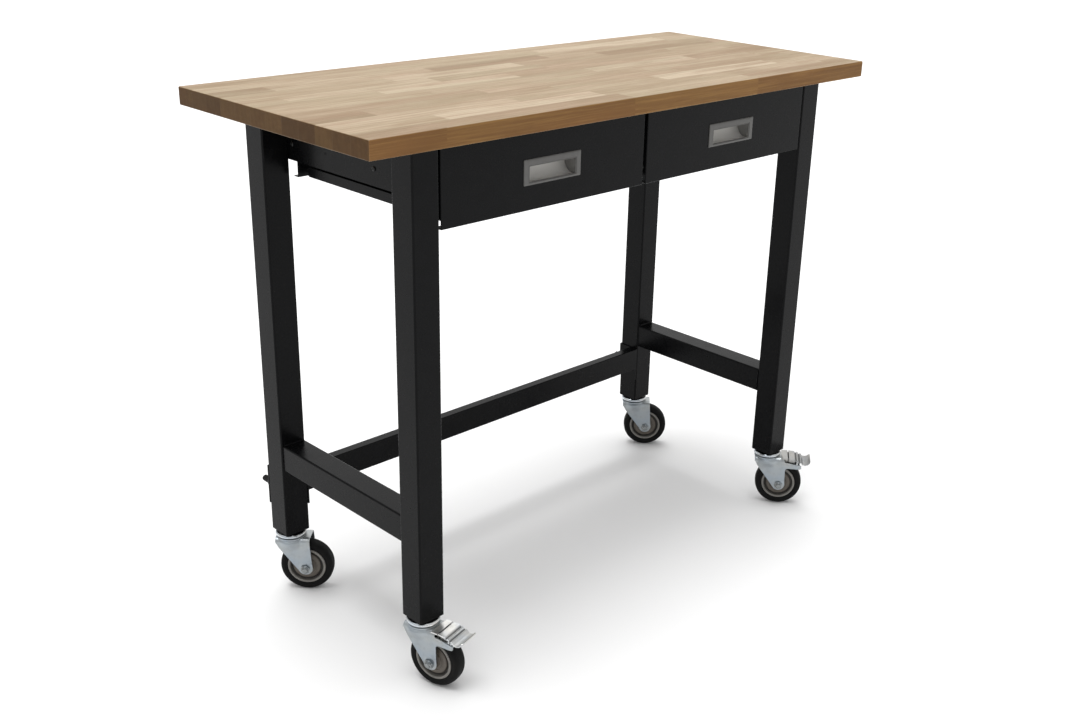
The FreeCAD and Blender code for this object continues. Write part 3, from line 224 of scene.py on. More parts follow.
def make_wood():
    """Edge-glued oiled staves: each stave has its own tone, ring centre and grain, on all faces of the board."""
    s = Shader("oiled_staves", (0.6, 0.43, 0.27))
    place = x, y, _ = tuple(s.split(s.place))
    row, colour, seam = lay_staves(s, x, y)
    tone, lean, spare = chance = tuple(s.split(colour))
    facing = s.split(s.add("ShaderNodeTexCoord").outputs["Normal"])
    side_face = s.span(s.math("ABSOLUTE", facing[1]), 0.55, 0.9)
    end_face = s.span(s.math("ABSOLUTE", facing[0]), 0.55, 0.9)
    rings = growth_rings(s, place, row, chance, s.span(end_face, 0.0, 1.0, 0.5, 0.16))
    fibre = s.noise(s.stretched(14, 900, 900), detail=4.0, roughness=0.62)
    pores = s.span(s.noise(s.stretched(42, 2300, 2300), detail=1.0), 0.60, 0.74)
    shift = s.vector("MULTIPLY", colour, (3.0, 5.0, 7.0))

    def stave_noise(scales, detail, roughness=0.5, distortion=0.0):
        """Noise stretched along the board that starts anew on each stave."""
        return s.noise(s.vector("ADD", s.stretched(*scales), shift), 1.0, detail, roughness, distortion)

    streak = stave_noise((5, 75, 110), 5.0, 0.66, 0.4)
    broad = stave_noise((4, 30, 30), 3.0, 0.6)
    hue = stave_noise((3, 22, 22), 2.0)
    greenish = s.mix(s.span(hue, 0.5, 0.7, 0.0, 0.5), s.ramp(tone, *STAVE_TONES), GREENISH)
    rosy = s.mix(s.span(hue, 0.3, 0.5, 0.5, 0.0), greenish, ROSY)
    light = s.mix(s.span(streak, 0.53, 0.72, 0.0, 0.55), rosy, LIGHT_STREAK)
    dark = s.mix(s.span(streak, 0.28, 0.48, 0.60, 0.0), light, DARK_STREAK)
    darker = s.mix(s.span(s.total((rings, 0.55), (fibre, 0.45)), 0.25, 0.75, 0.26, 0.0), dark, GRAIN)
    cloudy = s.mix(s.span(broad, 0.34, 0.50, 0.45, 0.0), darker, CLOUD)
    top = s.mix(s.math("MULTIPLY", pores, 0.25), cloudy, PORE)
    # the long sides, in streaks, are painted darker than the top as painted shade; the sawn ends, stave by stave, are
    # darker still, partly end grain that drinks more oil and partly painted shade
    drawn = stave_noise((7, 40, 330), 4.0, 0.65)
    streaky = s.mix(s.span(drawn, 0.34, 0.66, 0.45, 0.0), top, SIDE_DARK)
    golden = s.mix(s.span(drawn, 0.50, 0.72, 0.0, 0.50), streaky, SIDE_GOLD)
    with_sides = s.mix(side_face, top, s.mix(1.0, golden, SIDE_SHADE, blend="MULTIPLY"))
    ringed = s.mix(s.math("MULTIPLY", rings, 0.25), top, END_RING)
    stained = s.mix(s.span(spare, 0.0, 1.0, 0.0, 0.55), ringed, END_STAIN)
    with_ends = s.mix(end_face, with_sides, s.mix(1.0, stained, END_OIL_AND_SHADE, blend="MULTIPLY"))
    glued = s.mix(s.math("MULTIPLY", s.math("SUBTRACT", 1.0, seam), 0.30), with_ends, GLUE)
    settled = s.mix(1.0, glued, WOOD_LEVEL, blend="MULTIPLY")
    height = s.total((fibre, 0.5), (pores, -0.7), (seam, 0.8))
    return s.set(Base_Color=settled, Roughness=s.span(fibre, 0.2, 0.8, 0.64, 0.50), IOR=1.46, Specular_IOR_Level=0.15,
                 Normal=s.bump(height, 0.00022, 0.6))


def make_powder_coat():
    """Semi-gloss powder coat with the slight orange peel of a baked finish and a few specks."""
    s = Shader("black_powder_coat", (0.03, 0.03, 0.03))
    peel = s.noise(scale=620)
    flow = s.noise(scale=34, detail=3.0)
    dust = s.span(s.noise(scale=1500, detail=1.0), 0.66, 0.76)
    shade = (0.0028, 0.0029, 0.0032)
    tone = s.mix(s.span(flow, 0.35, 0.7), shade, tuple(part * 1.35 for part in shade))
    specks = s.mix(s.math("MULTIPLY", dust, 0.25), tone, (0.012, 0.012, 0.013))
    return s.set(Base_Color=specks, Roughness=s.span(flow, 0.3, 0.7, 0.22, 0.31), Specular_IOR_Level=0.08,
                 Normal=s.bump(s.total((peel, 0.6), (flow, 0.8)), 0.00010, 0.22))


# painted shade in grooves: the axis that a groove lies across, its place on that axis and half width in millimetres,
# and how dark it is painted
# painted shade along the seam under the race's rolled rim, over the top of the fork's dish
RACE_SEAM_SHADE = ((2, 114.2, 1.6, 0.85),)
# painted shade in the slit behind the cover plate, in the two grooves between the ridges, and in the hollow of the
# upturned tip
PEDAL_GROOVE_SHADE = ((0, 46.0, 2.2, 0.75), (0, 62.1, 1.9, 0.75), (0, 69.5, 1.9, 0.75), (0, 87.0, 8.0, 0.35))
GROOVE_SHADE = (0.05, 0.05, 0.048)


def make_plated_steel(name, shade, rough, brushed=(1, 1, 1), shaded_grooves=()):
    """Zinc-plated steel: soft blotches in colour and gloss over fine marks, and painted shade in its grooves."""
    s = Shader(name, shade)
    blotch = s.noise(scale=85, detail=4.0, roughness=0.6)
    marks = s.noise(s.stretched(*(part * 700 for part in brushed)), detail=3.0, roughness=0.65)
    cloud = s.noise(scale=22)
    cool = tuple(part * tint for part, tint in zip(shade, (0.88, 0.94, 1.0)))
    warm = tuple(part * tint for part, tint in zip(shade, (1.02, 1.0, 0.95)))
    tone = s.mix(s.span(cloud, 0.35, 0.65), cool, warm)
    dull_and_shade = s.mix(s.span(blotch, 0.5, 0.85, 0.0, 0.35), tone, tuple(part * 0.55 for part in shade))
    # painted shade: the colour darkens towards each groove's line
    for axis, middle, half, shade_depth in shaded_grooves:
        away = s.math("ABSOLUTE", s.math("SUBTRACT", s.split(s.place)[axis], middle * MM))
        dull_and_shade = s.mix(s.span(away, half * 0.42 * MM, half * MM, shade_depth, 0.0), dull_and_shade, GROOVE_SHADE)
    return s.set(Base_Color=dull_and_shade, Metallic=1.0, Roughness=s.span(blotch, 0.25, 0.75, rough - 0.05, rough + 0.11),
                 Normal=s.bump(marks, 0.00003, 0.5))


def make_pull_metal():
    """Satin die-cast pull: grey flange with painted shade in its sunk border, a scoop painted brighter as painted
    light, and painted shade on the scoop's end walls.
    """
    s = Shader("pull_satin_metal", (0.45, 0.45, 0.44))
    blast = s.noise(scale=2600)
    cloud = s.noise(scale=60, detail=3.0)
    x, y, _ = s.split(s.place)
    flange = s.mix(s.span(cloud, 0.3, 0.7), (0.095, 0.094, 0.091), (0.122, 0.120, 0.116))
    # painted shade: the sunk border is painted darker than the flange
    border = s.mix(s.span(y, 0.0004, 0.0008), flange, (0.085, 0.083, 0.079))
    # painted light: the scoop, which tilts up to the light, is painted much brighter than the flange
    scoop = s.mix(s.span(y, 0.0020, 0.0060), border, (0.53, 0.52, 0.50))
    # painted shade: the scoop's end walls are painted less bright than its floor
    ends = s.span(s.math("ABSOLUTE", x), 0.0492, 0.0502)
    tone = s.mix(s.math("MULTIPLY", ends, s.span(y, 0.0020, 0.0030)), scoop, (0.19, 0.186, 0.178))
    return s.set(Base_Color=tone, Metallic=0.45, Roughness=s.span(cloud, 0.3, 0.7, 0.42, 0.52),
                 Specular_IOR_Level=0.3, Normal=s.bump(blast, 0.00004, 0.45))


def make_rubber():
    """Matt tyre rubber with a moulding grain and patches of floor dust."""
    s = Shader("tyre_rubber", (0.03, 0.03, 0.03))
    grain = s.noise(scale=1400)
    patches = s.noise(scale=55, detail=4.0, roughness=0.65)
    tone = s.mix(s.span(patches, 0.45, 0.8), (0.003, 0.003, 0.0031), (0.010, 0.0097, 0.009))
    return s.set(Base_Color=tone, Roughness=s.span(patches, 0.3, 0.7, 0.62, 0.8), Specular_IOR_Level=0.15,
                 Normal=s.bump(grain, 0.00006, 0.6))


HUB_RADIUS = 36
# tones by share of the hub's radius; the dark band from 0.755 to 0.84 is painted shade on the floor of the sunk ring
HUB_TONES_AND_GROOVE_SHADE = ((0.0, (0.098, 0.083, 0.067)), (0.70, (0.106, 0.089, 0.071)), (0.755, (0.030, 0.027, 0.024)),
             (0.84, (0.035, 0.032, 0.028)), (0.875, (0.205, 0.195, 0.178)), (1.0, (0.215, 0.205, 0.188)))


def make_hub_plastic():
    """Moulded grey-brown wheel centre with flow marks and a pale rim, and painted shade darkening its sunk ring."""
    s = Shader("hub_moulded_grey", (0.3, 0.28, 0.26))
    flow = s.noise(scale=90, detail=3.0, distortion=0.6)
    grain = s.noise(scale=1900, detail=1.0)
    x, _, z = s.split(s.place)
    bands = s.ramp(s.math("DIVIDE", s.reach(x, z), HUB_RADIUS * MM), *HUB_TONES_AND_GROOVE_SHADE)
    tone = s.mix(s.span(flow, 0.3, 0.75, 0.0, 0.35), bands, (0.05, 0.045, 0.04))
    return s.set(Base_Color=tone, Roughness=s.span(flow, 0.3, 0.7, 0.42, 0.55), Normal=s.bump(grain, 0.00005, 0.5))


def make_black_oxide():
    """Blackened fastener steel: thin glossy oxide, worn towards brown here and there."""
    s = Shader("black_oxide_steel", (0.03, 0.03, 0.03))
    cloud = s.noise(scale=160, detail=3.0)
    grain = s.noise(scale=1500)
    tone = s.mix(s.span(cloud, 0.4, 0.75), (0.006, 0.006, 0.0062), (0.018, 0.0165, 0.015))
    return s.set(Base_Color=tone, Roughness=s.span(cloud, 0.3, 0.7, 0.24, 0.38), Specular_IOR_Level=0.3,
                 Normal=s.bump(grain, 0.00003, 0.5))


BY_SLOT = {
    "top_wood": make_wood(),
    "black_powder": make_powder_coat(),
    "black_steel": make_black_oxide(),
    "zinc": make_plated_steel("zinc_fasteners", (0.66, 0.665, 0.68), 0.24),
    "caster_zinc": make_plated_steel("zinc_pressed_steel", (0.40, 0.425, 0.445), 0.40, shaded_grooves=RACE_SEAM_SHADE),
    "runner_zinc": make_plated_steel("zinc_rolled_steel", (0.58, 0.585, 0.60), 0.30, brushed=(6, 0.15, 6)),
    "pull_metal": make_pull_metal(),
    "tyre_rubber": make_rubber(),
    "hub_plastic": make_hub_plastic(),
}
race_zinc = make_plated_steel("zinc_rolled_race", (0.60, 0.61, 0.62), 0.19, shaded_grooves=RACE_SEAM_SHADE)
axle_zinc = make_plated_steel("zinc_axle_bolt", (0.30, 0.31, 0.31), 0.17)
# lit and shaded copies of one pedal zinc: the front-left pedal takes the painted light copy, the front-right the
# painted shade copy
pedal_zinc_painted_light = make_plated_steel("zinc_pedal_painted_light", (0.78, 0.785, 0.79), 0.30, shaded_grooves=PEDAL_GROOVE_SHADE)
pedal_zinc_painted_shade = make_plated_steel("zinc_pedal_painted_shade", (0.40, 0.40, 0.40), 0.34, shaded_grooves=PEDAL_GROOVE_SHADE)

for entry in record["subparts"]:
    materials = nodes[entry["node"]].data.materials
    materials.clear()
    materials.append(BY_SLOT[entry["material_slot"]])


# ------------ mesh building

STRAIGHT = 0.05    # a turn of fewer radians stays as it is


def rounded(points, radius, steps=4, closed=True):
    """Round the corners of a line of points; radius is one number, or one for each corner."""
    result = []
    for i, point in enumerate(points):
        corner = Vector(point)
        size = radius[i] if isinstance(radius, (list, tuple)) else radius
        before, after = Vector(points[i - 1]) - corner, Vector(points[(i + 1) % len(points)]) - corner
        turn = math.pi - before.angle(after)
        if size <= 0 or turn < STRAIGHT or (not closed and i in (0, len(points) - 1)):
            result.append(corner)
            continue
        reach = min(size * math.tan(turn / 2), before.length * 0.45, after.length * 0.45)
        start, end = corner + before.normalized() * reach, corner + after.normalized() * reach
        for step in range(steps + 1):
            t = step / steps
            result.append(start * (1 - t) ** 2 + corner * 2 * t * (1 - t) + end * t ** 2)
    return result


def tangent_tip(before, centre, radius, after, steps):
    """The arc round a circle's far side between the tangents from two points, counter-clockwise."""
    def touch(point, side):
        away = Vector(point) - Vector(centre)
        return math.degrees(math.atan2(away.y, away.x) + side * math.acos(radius / away.length))
    start, end = touch(before, 1), touch(after, -1)
    end += 360 if end <= start else 0
    angles = [math.radians(start + (end - start) * step / steps) for step in range(steps + 1)]
    return [Vector((centre[0] + radius * math.cos(a), centre[1] + radius * math.sin(a))) for a in angles]


AXES = {"X": lambda a, b, along: (along, a, b), "Y": lambda a, b, along: (a, along, b),
        "Z": lambda a, b, along: (a, b, along)}


def lathe(bm, profile, segments, axis="Z", at=(0, 0, 0), closed=True):
    """Turn a profile of (radius, height) about an axis; either may be a function of the angle."""
    start = Vector(at)
    rings = []
    for radius, height in profile:
        ring = []
        for i in range(segments):
            angle = math.tau * i / segments
            r = radius(angle) if callable(radius) else radius
            h = height(angle) if callable(height) else height
            ring.append(bm.verts.new((start + Vector(AXES[axis](r * math.cos(angle), r * math.sin(angle), h))) * MM))
            if r < 1e-6:
                break
        rings.append(ring)
    for lower, upper in zip(rings, rings[1:] + (rings[:1] if closed else [])):
        for i in range(segments):
            quad = [ring[j % len(ring)] for ring, j in ((lower, i), (lower, i + 1), (upper, i + 1), (upper, i))]
            corners = list(dict.fromkeys(quad))
            if len(corners) > 2:
                bm.faces.new(corners)


def skin(bm, loops):
    """Join loops of equally many vertices, each to the next, and close the first and the last with a face."""
    for lower, upper in zip(loops, loops[1:]):
        for i in range(len(lower)):
            j = (i + 1) % len(lower)
            bm.faces.new((lower[i], lower[j], upper[j], upper[i]))
    bm.faces.new(loops[0])
    bm.faces.new(loops[-1])


def prism(bm, outline, low, high):
    """Extrude an outline of (x, z) across Y."""
    skin(bm, [[bm.verts.new(Vector((x, y, z)) * MM) for x, z in outline] for y in (low, high)])


def soften(bm, width, sharper_than=40):
    """Round the sharp edges."""
    bmesh.ops.recalc_face_normals(bm, faces=bm.faces)
    edges = [edge for edge in bm.edges if len(edge.link_faces) == 2
             and edge.calc_face_angle(0) > math.radians(sharper_than)]
    bmesh.ops.bevel(bm, geom=edges, offset=width * MM, segments=2, profile=0.5, affect="EDGES", clamp_overlap=True)


def add_object(name, data):
    """A new object in the scene."""
    made = bpy.data.objects.new(name, data)
    bpy.context.collection.objects.link(made)
    return made


def add_piece(name, bm, body, slot, place=None, stands_for=(), sharp=35, material=None):
    """Turn a bmesh into a piece: its slot's material, smooth shading between sharp edges, riding on a body."""
    bmesh.ops.recalc_face_normals(bm, faces=bm.faces)
    mesh = bpy.data.meshes.new(name)
    bm.to_mesh(mesh)
    bm.free()
    mesh.shade_smooth()
    mesh.set_sharp_from_angle(angle=math.radians(sharp))
    mesh.materials.append(material or BY_SLOT[slot])
    piece = add_object(name, mesh)
    if place:
        piece.matrix_world = place
    piece.modifiers.new("even_faces", "WEIGHTED_NORMAL").keep_sharp = True
    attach(piece, body)
    for node in stands_for:
        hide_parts(node)


def inside(point, outline):
    """Whether a point lies within a closed outline."""
    hits = 0
    for a, b in zip(outline, outline[1:] + outline[:1]):
        if (a[1] > point[1]) != (b[1] > point[1]):
            hits += point[0] < a[0] + (b[0] - a[0]) * (point[1] - a[1]) / (b[1] - a[1])
    return hits % 2 == 1


def clearance(point, outline):
    """Distance from a point to the nearest edge of an outline."""
    nearest = math.inf
    for a, b in zip(outline, outline[1:] + outline[:1]):
        a, b, p = Vector(a), Vector(b), Vector(point)
        share = max(0.0, min(1.0, (p - a).dot(b - a) / max((b - a).length_squared, 1e-9)))
        nearest = min(nearest, (p - a - (b - a) * share).length)
    return nearest


SPACING = 3.0    # between a pressed sheet's points


def pressed(bm, blank, fold, thickness):
    """Cut a blank from sheet, fold every point of it into place, and give it its thickness."""
    edge = []
    for a, b in zip(blank, blank[1:] + blank[:1]):
        a, b = Vector(a), Vector(b)
        parts = max(1, round((b - a).length / SPACING))
        edge += [a.lerp(b, part / parts) for part in range(parts)]
    points = list(edge)
    low, high = (Vector([pick(p[i] for p in edge) for i in range(2)]) for pick in (min, max))
    columns, rows = (int((high[i] - low[i]) / SPACING) for i in range(2))
    for column in range(columns + 1):
        for row in range(rows + 1):
            shift = SPACING / 2 if row % 2 else 0
            point = (low[0] + column * SPACING + shift, (low[1] + high[1]) / 2 + (row - rows / 2) * SPACING)
            if inside(point, edge) and clearance(point, edge) > SPACING * 0.55:
                points.append(Vector(point))
    rim = [list(range(len(edge)))]
    spots, _, faces, *_ = delaunay_2d_cdt(points, [], rim, 1, 1e-4)
    verts = [bm.verts.new(Vector(fold(spot[0], spot[1])) * MM) for spot in spots]
    made = [bm.faces.new([verts[i] for i in face]) for face in faces]
    bmesh.ops.recalc_face_normals(bm, faces=made)
    bmesh.ops.solidify(bm, geom=made, thickness=thickness * MM)


def smooth(value, low, high):
    """0 below a range and 1 above it, with an even turn at both ends."""
    share = max(0.0, min(1.0, (value - low) / (high - low)))
    return share * share * (3 - 2 * share)


def mirrored(half):
    """A profile of (radius, height) completed with its mirror image at negative heights."""
    return half + [(radius, -height) for radius, height in reversed(half)]


# ------------ casters
# A caster is drawn with its swivel axis on Z and its wheel trailing towards +X, then turned.

FORK_TOP = 109.5
TRAIL = 28.5
AXLE_Z = 50
CHEEK = 20    # from the middle to a cheek's outer face
SHEET = 2.5
SHOULDER = 6    # radius of the bend from crown to cheek
CROWN_FLAT = CHEEK - SHOULDER
BEND = math.pi / 2 * SHOULDER
RACE_RADIUS = 27.3
FLARE = (86, 107)    # heights between which the cheeks widen to the race
BOSS_RADII = (11.0, 12.6)
BOSS_RISE = 0.8
TIP_RADIUS = 13
PEDAL_PIVOT = (46, 98)
STOP_PIN = (70, 94)


def fork_fold(x, across):
    """Where a point of the fork's blank goes: x stays, and the distance across bends over the shoulder."""
    side, distance = (1 if across > 0 else -1), abs(across)
    if distance <= CROWN_FLAT:
        y, z = distance, FORK_TOP
    elif distance <= CROWN_FLAT + BEND:
        angle = (distance - CROWN_FLAT) / SHOULDER
        y, z = CROWN_FLAT + SHOULDER * math.sin(angle), FORK_TOP - SHOULDER * (1 - math.cos(angle))
    else:
        y, z = CHEEK, FORK_TOP - SHOULDER - (distance - CROWN_FLAT - BEND)
    flare = max(0.0, math.sqrt(max(0.0, RACE_RADIUS ** 2 - x * x)) - CHEEK)
    y += flare * smooth(z, *FLARE) * (y / CHEEK) ** 2
    y += BOSS_RISE * (1 - smooth(math.hypot(x - TRAIL, z - AXLE_Z), *BOSS_RADII))
    return x, side * y, z


def across_at(z):
    """How far across the blank a height on the cheek lies."""
    return CROWN_FLAT + BEND + FORK_TOP - SHOULDER - z


def fork_blank(braked):
    """The fork's flat blank, crown and both cheeks; a braked one has ears for the pedal's stop pin."""
    fold_z = FORK_TOP - SHOULDER
    back_x = TRAIL + 9.5
    nose = [(-26, fold_z), (-13.5, 84)]
    tail, tail_sizes = [(TRAIL + 10.5, 88), (back_x, fold_z)], [8, 0]
    if braked:
        tail = [(TRAIL + 12, 89.5), (66, 89.2), (75, 90), (75, 98), (back_x, fold_z + 0.5)]
        tail_sizes = [7, 9, 3.5, 4, 0]
    tip = tangent_tip(nose[-1], (TRAIL, AXLE_Z), TIP_RADIUS, tail[0], 24)
    cheek = rounded(nose + tip + tail, [0, 8] + [0] * len(tip) + tail_sizes, closed=False)
    half = [Vector((x, across_at(z))) for x, z in cheek]
    upper = [Vector((-27.2, 0)), Vector((-26.6, 9)), *half, Vector((back_x, 9)), Vector((back_x, 0))]
    return upper + [Vector((p[0], -p[1])) for p in reversed(upper[1:-1])]


DISH = ((7.2, 107.6), (20, 107.2), (25.5, 108.2), (27.5, 110.2), (27.5, 112.2), (26.8, 113.4), (25.4, 113.5),
        (24.6, 112.2), (23.5, 110.6), (7.2, 110.6))


def make_fork(corner, place):
    """Pressed fork, flared round its ball race, with a rolled dish welded on its crown."""
    bm = bmesh.new()
    pressed(bm, fork_blank(corner.startswith("front")), fork_fold, -SHEET)
    soften(bm, 0.5, sharper_than=60)
    lathe(bm, rounded(DISH, 0.7, 3), 96)
    add_piece(f"pressed_fork_{corner}", bm, f"swivel_{corner}", "caster_zinc", place, [f"caster_{corner}_fork"],
              sharp=40)


def make_mount(corner, place):
    """Upper race with a rolled rim, the collar under the leg, the stem and the riveted kingpin."""
    race = FORK_TOP + 4.5
    stem_top = LEG_BOTTOM + 25
    profile = [(0, 103.2), (8.2, 103.2), (9.5, 104.4), (9.5, 106.2), (6.95, 106.2), (6.95, race), (25.4, race),
               (26.2, race + 1.2), (28.0, race + 1.5), (29.0, race + 2.8), (29.0, race + 4.8), (28.5, race + 6.3),
               (27.3, race + 7.4), (25.2, race + 7.8), (22.0, race + 8.2), (18.5, race + 9.2),
               (16.0, LEG_BOTTOM), (6, LEG_BOTTOM), (6, stem_top), (0, stem_top)]
    bm = bmesh.new()
    lathe(bm, rounded(profile, 0.8, 3, closed=False), 96, closed=False)
    add_piece(f"upper_race_{corner}", bm, "frame", "caster_zinc", place, [f"caster_{corner}_mount"], material=race_zinc)


def hex_prism(bm, flats, low, high, at, bore=0.0, turn=0.0):
    """A hexagon along Y with both ends chamfered the way a nut's are, bored through if bore isn't 0."""
    sixth = math.pi / 3
    face = flats / 2 * 0.96

    def radius(angle):
        return flats / 2 / math.cos((angle + turn + sixth / 2) % sixth - sixth / 2)

    def corner_drop(angle):
        return (radius(angle) - face) * math.tan(math.radians(28))

    outer = [(face, low), (radius, lambda a: low + corner_drop(a)), (radius, lambda a: high - corner_drop(a)),
             (face, high)]
    if bore:
        lathe(bm, [(bore + 0.4, low), *outer, (bore + 0.4, high), (bore, high - 0.4), (bore, low + 0.4)], 72, "Y", at)
    else:
        lathe(bm, [(0, low), *outer, (0, high)], 72, "Y", at, closed=False)


def threaded(bm, radius, pitch, low, high, at):
    """A rod along Y with a real helical thread and a chamfered end at high, the end that sticks out."""
    depth = pitch * 0.5
    way = 1 if high > low else -1
    length = abs(high - low)
    count = max(2, round(length / pitch * 5))

    def turn_radius(along):
        taper = depth * smooth(along, length - pitch * 0.9, length)

        def at_angle(angle):
            share = (along / pitch - angle / math.tau) % 1
            return radius - depth * abs(2 * share - 1) - taper
        return at_angle

    rings = [(turn_radius(length * i / count), low + way * length * i / count) for i in range(count + 1)]
    lathe(bm, [(0, low), *rings, (0, high)], 32, "Y", at, closed=False)


AXLE_RADIUS = 5
AXLE_PITCH = 1.5
HEX_FLATS = 16
NUT_FACE = CHEEK + 2
NUT_END = CHEEK + 8


def make_axle(corner, place):
    """Hex bolt through both cheeks, its spacer, washers, and a lock nut with a rolled collar on the -Y side."""
    bm = bmesh.new()
    at = (TRAIL, 0, AXLE_Z)
    inner = CHEEK - SHEET
    face = CHEEK + BOSS_RISE
    lathe(bm, [(7, -inner), (7, inner), (AXLE_RADIUS, inner), (AXLE_RADIUS, -inner)], 48, "Y", at)
    lathe(bm, [(0, -NUT_END), (AXLE_RADIUS, -NUT_END), (AXLE_RADIUS, face), (0, face)], 32, "Y", at, closed=False)
    hex_prism(bm, HEX_FLATS, face + 0.4, CHEEK + 6.2, at)
    lathe(bm, rounded([(5, face), (7.6, face), (7.6, face + 0.6), (5, face + 0.6)], 0.15, 2), 48, "Y", at)
    washer = rounded([(5.2, -face), (10, -face), (10, -NUT_FACE), (5.2, -NUT_FACE)], 0.35, 3)
    lathe(bm, washer, 64, "Y", at)
    hex_prism(bm, HEX_FLATS, -NUT_END, -NUT_FACE, at, AXLE_RADIUS, turn=math.radians(12))
    collar = rounded([(5.1, 0.4 - NUT_END), (7.3, 0.4 - NUT_END), (7.1, -1.3 - NUT_END), (6.2, -2 - NUT_END),
                      (5.1, -2 - NUT_END)], 0.5, 3)
    lathe(bm, collar, 48, "Y", at)
    threaded(bm, AXLE_RADIUS - 0.1, AXLE_PITCH, 1 - NUT_END, -4.4 - NUT_END, at)
    add_piece(f"axle_bolt_{corner}", bm, f"swivel_{corner}", "zinc", place, [f"caster_{corner}_axle"],
              material=axle_zinc)


# half sections of (radius, distance from the wheel's middle)
HUB_HALF = [(7.1, 16.4), (12.6, 16.4), (14.2, 12.4), (17.0, 11.8), (19.0, 12.6), (20.6, 11.6), (25.4, 10.6),
            (27.2, 7.2), (30.6, 6.2), (31.6, 12.8), (33.6, 13.4), (35.6, 12.8), (HUB_RADIUS, 11.4)]
TYRE_HALF = [(36.05, 11.6), (37.2, 12.6), (38.4, 13.4), (39.8, 13.2), (40.6, 13.8), (43.0, 14.0), (45.4, 13.4),
             (47.6, 11.8), (49.1, 9.4), (49.8, 6.0), (50.0, 2.5)]


def make_wheel(corner, place):
    """Moulded wheel centre with stepped rings, and a solid tyre with a beaded sidewall."""
    at = place @ Matrix.Translation(Vector((TRAIL, 0, AXLE_Z)) * MM)
    bm = bmesh.new()
    most = [0.5] * (len(HUB_HALF) - 1)
    lathe(bm, rounded(mirrored(HUB_HALF), [*most, 0.2, 0.2, *most], 3), 96, "Y")
    add_piece(f"wheel_centre_{corner}", bm, f"wheel_{corner}", "hub_plastic", at, [f"caster_{corner}_hub"])
    bm = bmesh.new()
    lathe(bm, rounded(mirrored(TYRE_HALF), 0.9, 2), 128, "Y")
    add_piece(f"tyre_{corner}", bm, f"wheel_{corner}", "tyre_rubber", at, [f"caster_{corner}_tyre"], sharp=50)


PEDAL_TOP = FORK_TOP + 3.5
PEDAL_HALF = 22.5
PEDAL_SHEET = 2
PEDAL_COLUMNS = 14
# side views of (x, height from PEDAL_TOP)
COVER_LINE = ((31, -0.8), (33.2, 0), (44.8, 0))
FOOT_LINE = ((47.2, -0.2), (59.8, -0.9), (61.4, -3.9), (62.8, -4.3), (64.8, -2.4), (67.0, -3.0), (68.8, -6.9),
             (70.2, -7.2), (72.2, -5.2), (74.4, -6.2), (77.5, -10.2), (82.5, -10.8), (87.2, -9.5), (90.3, -6.8),
             (91.6, -3.5))


def plate(bm, line, corner, bend):
    """A bent plate across the pedal: its side view is a line, and its far end has rounded corners."""
    spots = rounded([(x, PEDAL_TOP + z) for x, z in line], bend, closed=False)
    lengths = [0.0]
    for a, b in zip(spots, spots[1:]):
        lengths.append(lengths[-1] + (b - a).length)
    rounding = [lengths[-1] - corner * share for share in (0.75, 0.5, 0.3, 0.15, 0.05)] if corner else []
    grid = []
    for along in sorted(lengths + rounding):
        i = max(k for k, item in enumerate(lengths) if item <= along + 1e-9)
        j = min(i + 1, len(spots) - 1)
        spot = spots[i].lerp(spots[j], (along - lengths[i]) / max(lengths[j] - lengths[i], 1e-9))
        past = max(0.0, along - (lengths[-1] - corner))
        half = PEDAL_HALF - (corner - math.sqrt(max(0.0, corner ** 2 - past ** 2)))
        grid.append([bm.verts.new(Vector((spot.x, half * (2 * c / PEDAL_COLUMNS - 1), spot.y)) * MM)
                     for c in range(PEDAL_COLUMNS + 1)])
    faces = []
    for lower, upper in zip(grid, grid[1:]):
        faces += [bm.faces.new((lower[c], lower[c + 1], upper[c + 1], upper[c])) for c in range(PEDAL_COLUMNS)]
    for face in faces:
        face.normal_update()
        if face.normal.z < 0:
            face.normal_flip()
    bmesh.ops.solidify(bm, geom=faces, thickness=PEDAL_SHEET * MM)


def make_pedal(corner, place):
    """Brake pedal: cover plate, ridged foot plate, two lugs, the bar between them and the brake shoe."""
    bm = bmesh.new()
    plate(bm, COVER_LINE, 0, 1.2)
    plate(bm, FOOT_LINE, 5, 1.0)
    soften(bm, 0.45, sharper_than=60)
    under = PEDAL_TOP - PEDAL_SHEET
    low = FORK_TOP + 0.8
    x, z = PEDAL_PIVOT
    before, after = (x - 6.8, low), (x + 14, z - 3)
    lug = [(33, under + 0.3), (33, low), before, *tangent_tip(before, PEDAL_PIVOT, 5.5, after, 12), after,
           (x + 14, under + 0.3)]
    bar = [(55, 101), (60, 101), (60, 105), (55, 105)]
    shoe = [(58, 93.2), (62, 91), (65, 91.6), (66, under - 7.0), (60, under + 0.2), (56, under + 0.2),
            (58, under - 6)]
    parts = bmesh.new()
    for outline, near, far in ((lug, -17, -15), (lug, 15, 17), (bar, -16, 16), (shoe, -12, 12)):
        prism(parts, outline, near, far)
    soften(parts, 0.4)
    scratch = bpy.data.meshes.new("parts")
    parts.to_mesh(scratch)
    parts.free()
    bm.from_mesh(scratch)
    bpy.data.meshes.remove(scratch)
    # the two pedals' zincs differ only by painted light and painted shade
    add_piece(f"brake_pedal_{corner}", bm, f"brake_{corner}", "caster_zinc", place, [f"caster_{corner}_pedal"],
              material=pedal_zinc_painted_light if corner == "front_left" else pedal_zinc_painted_shade)


SHANK = 2.5
HEAD_SEGMENTS = 40


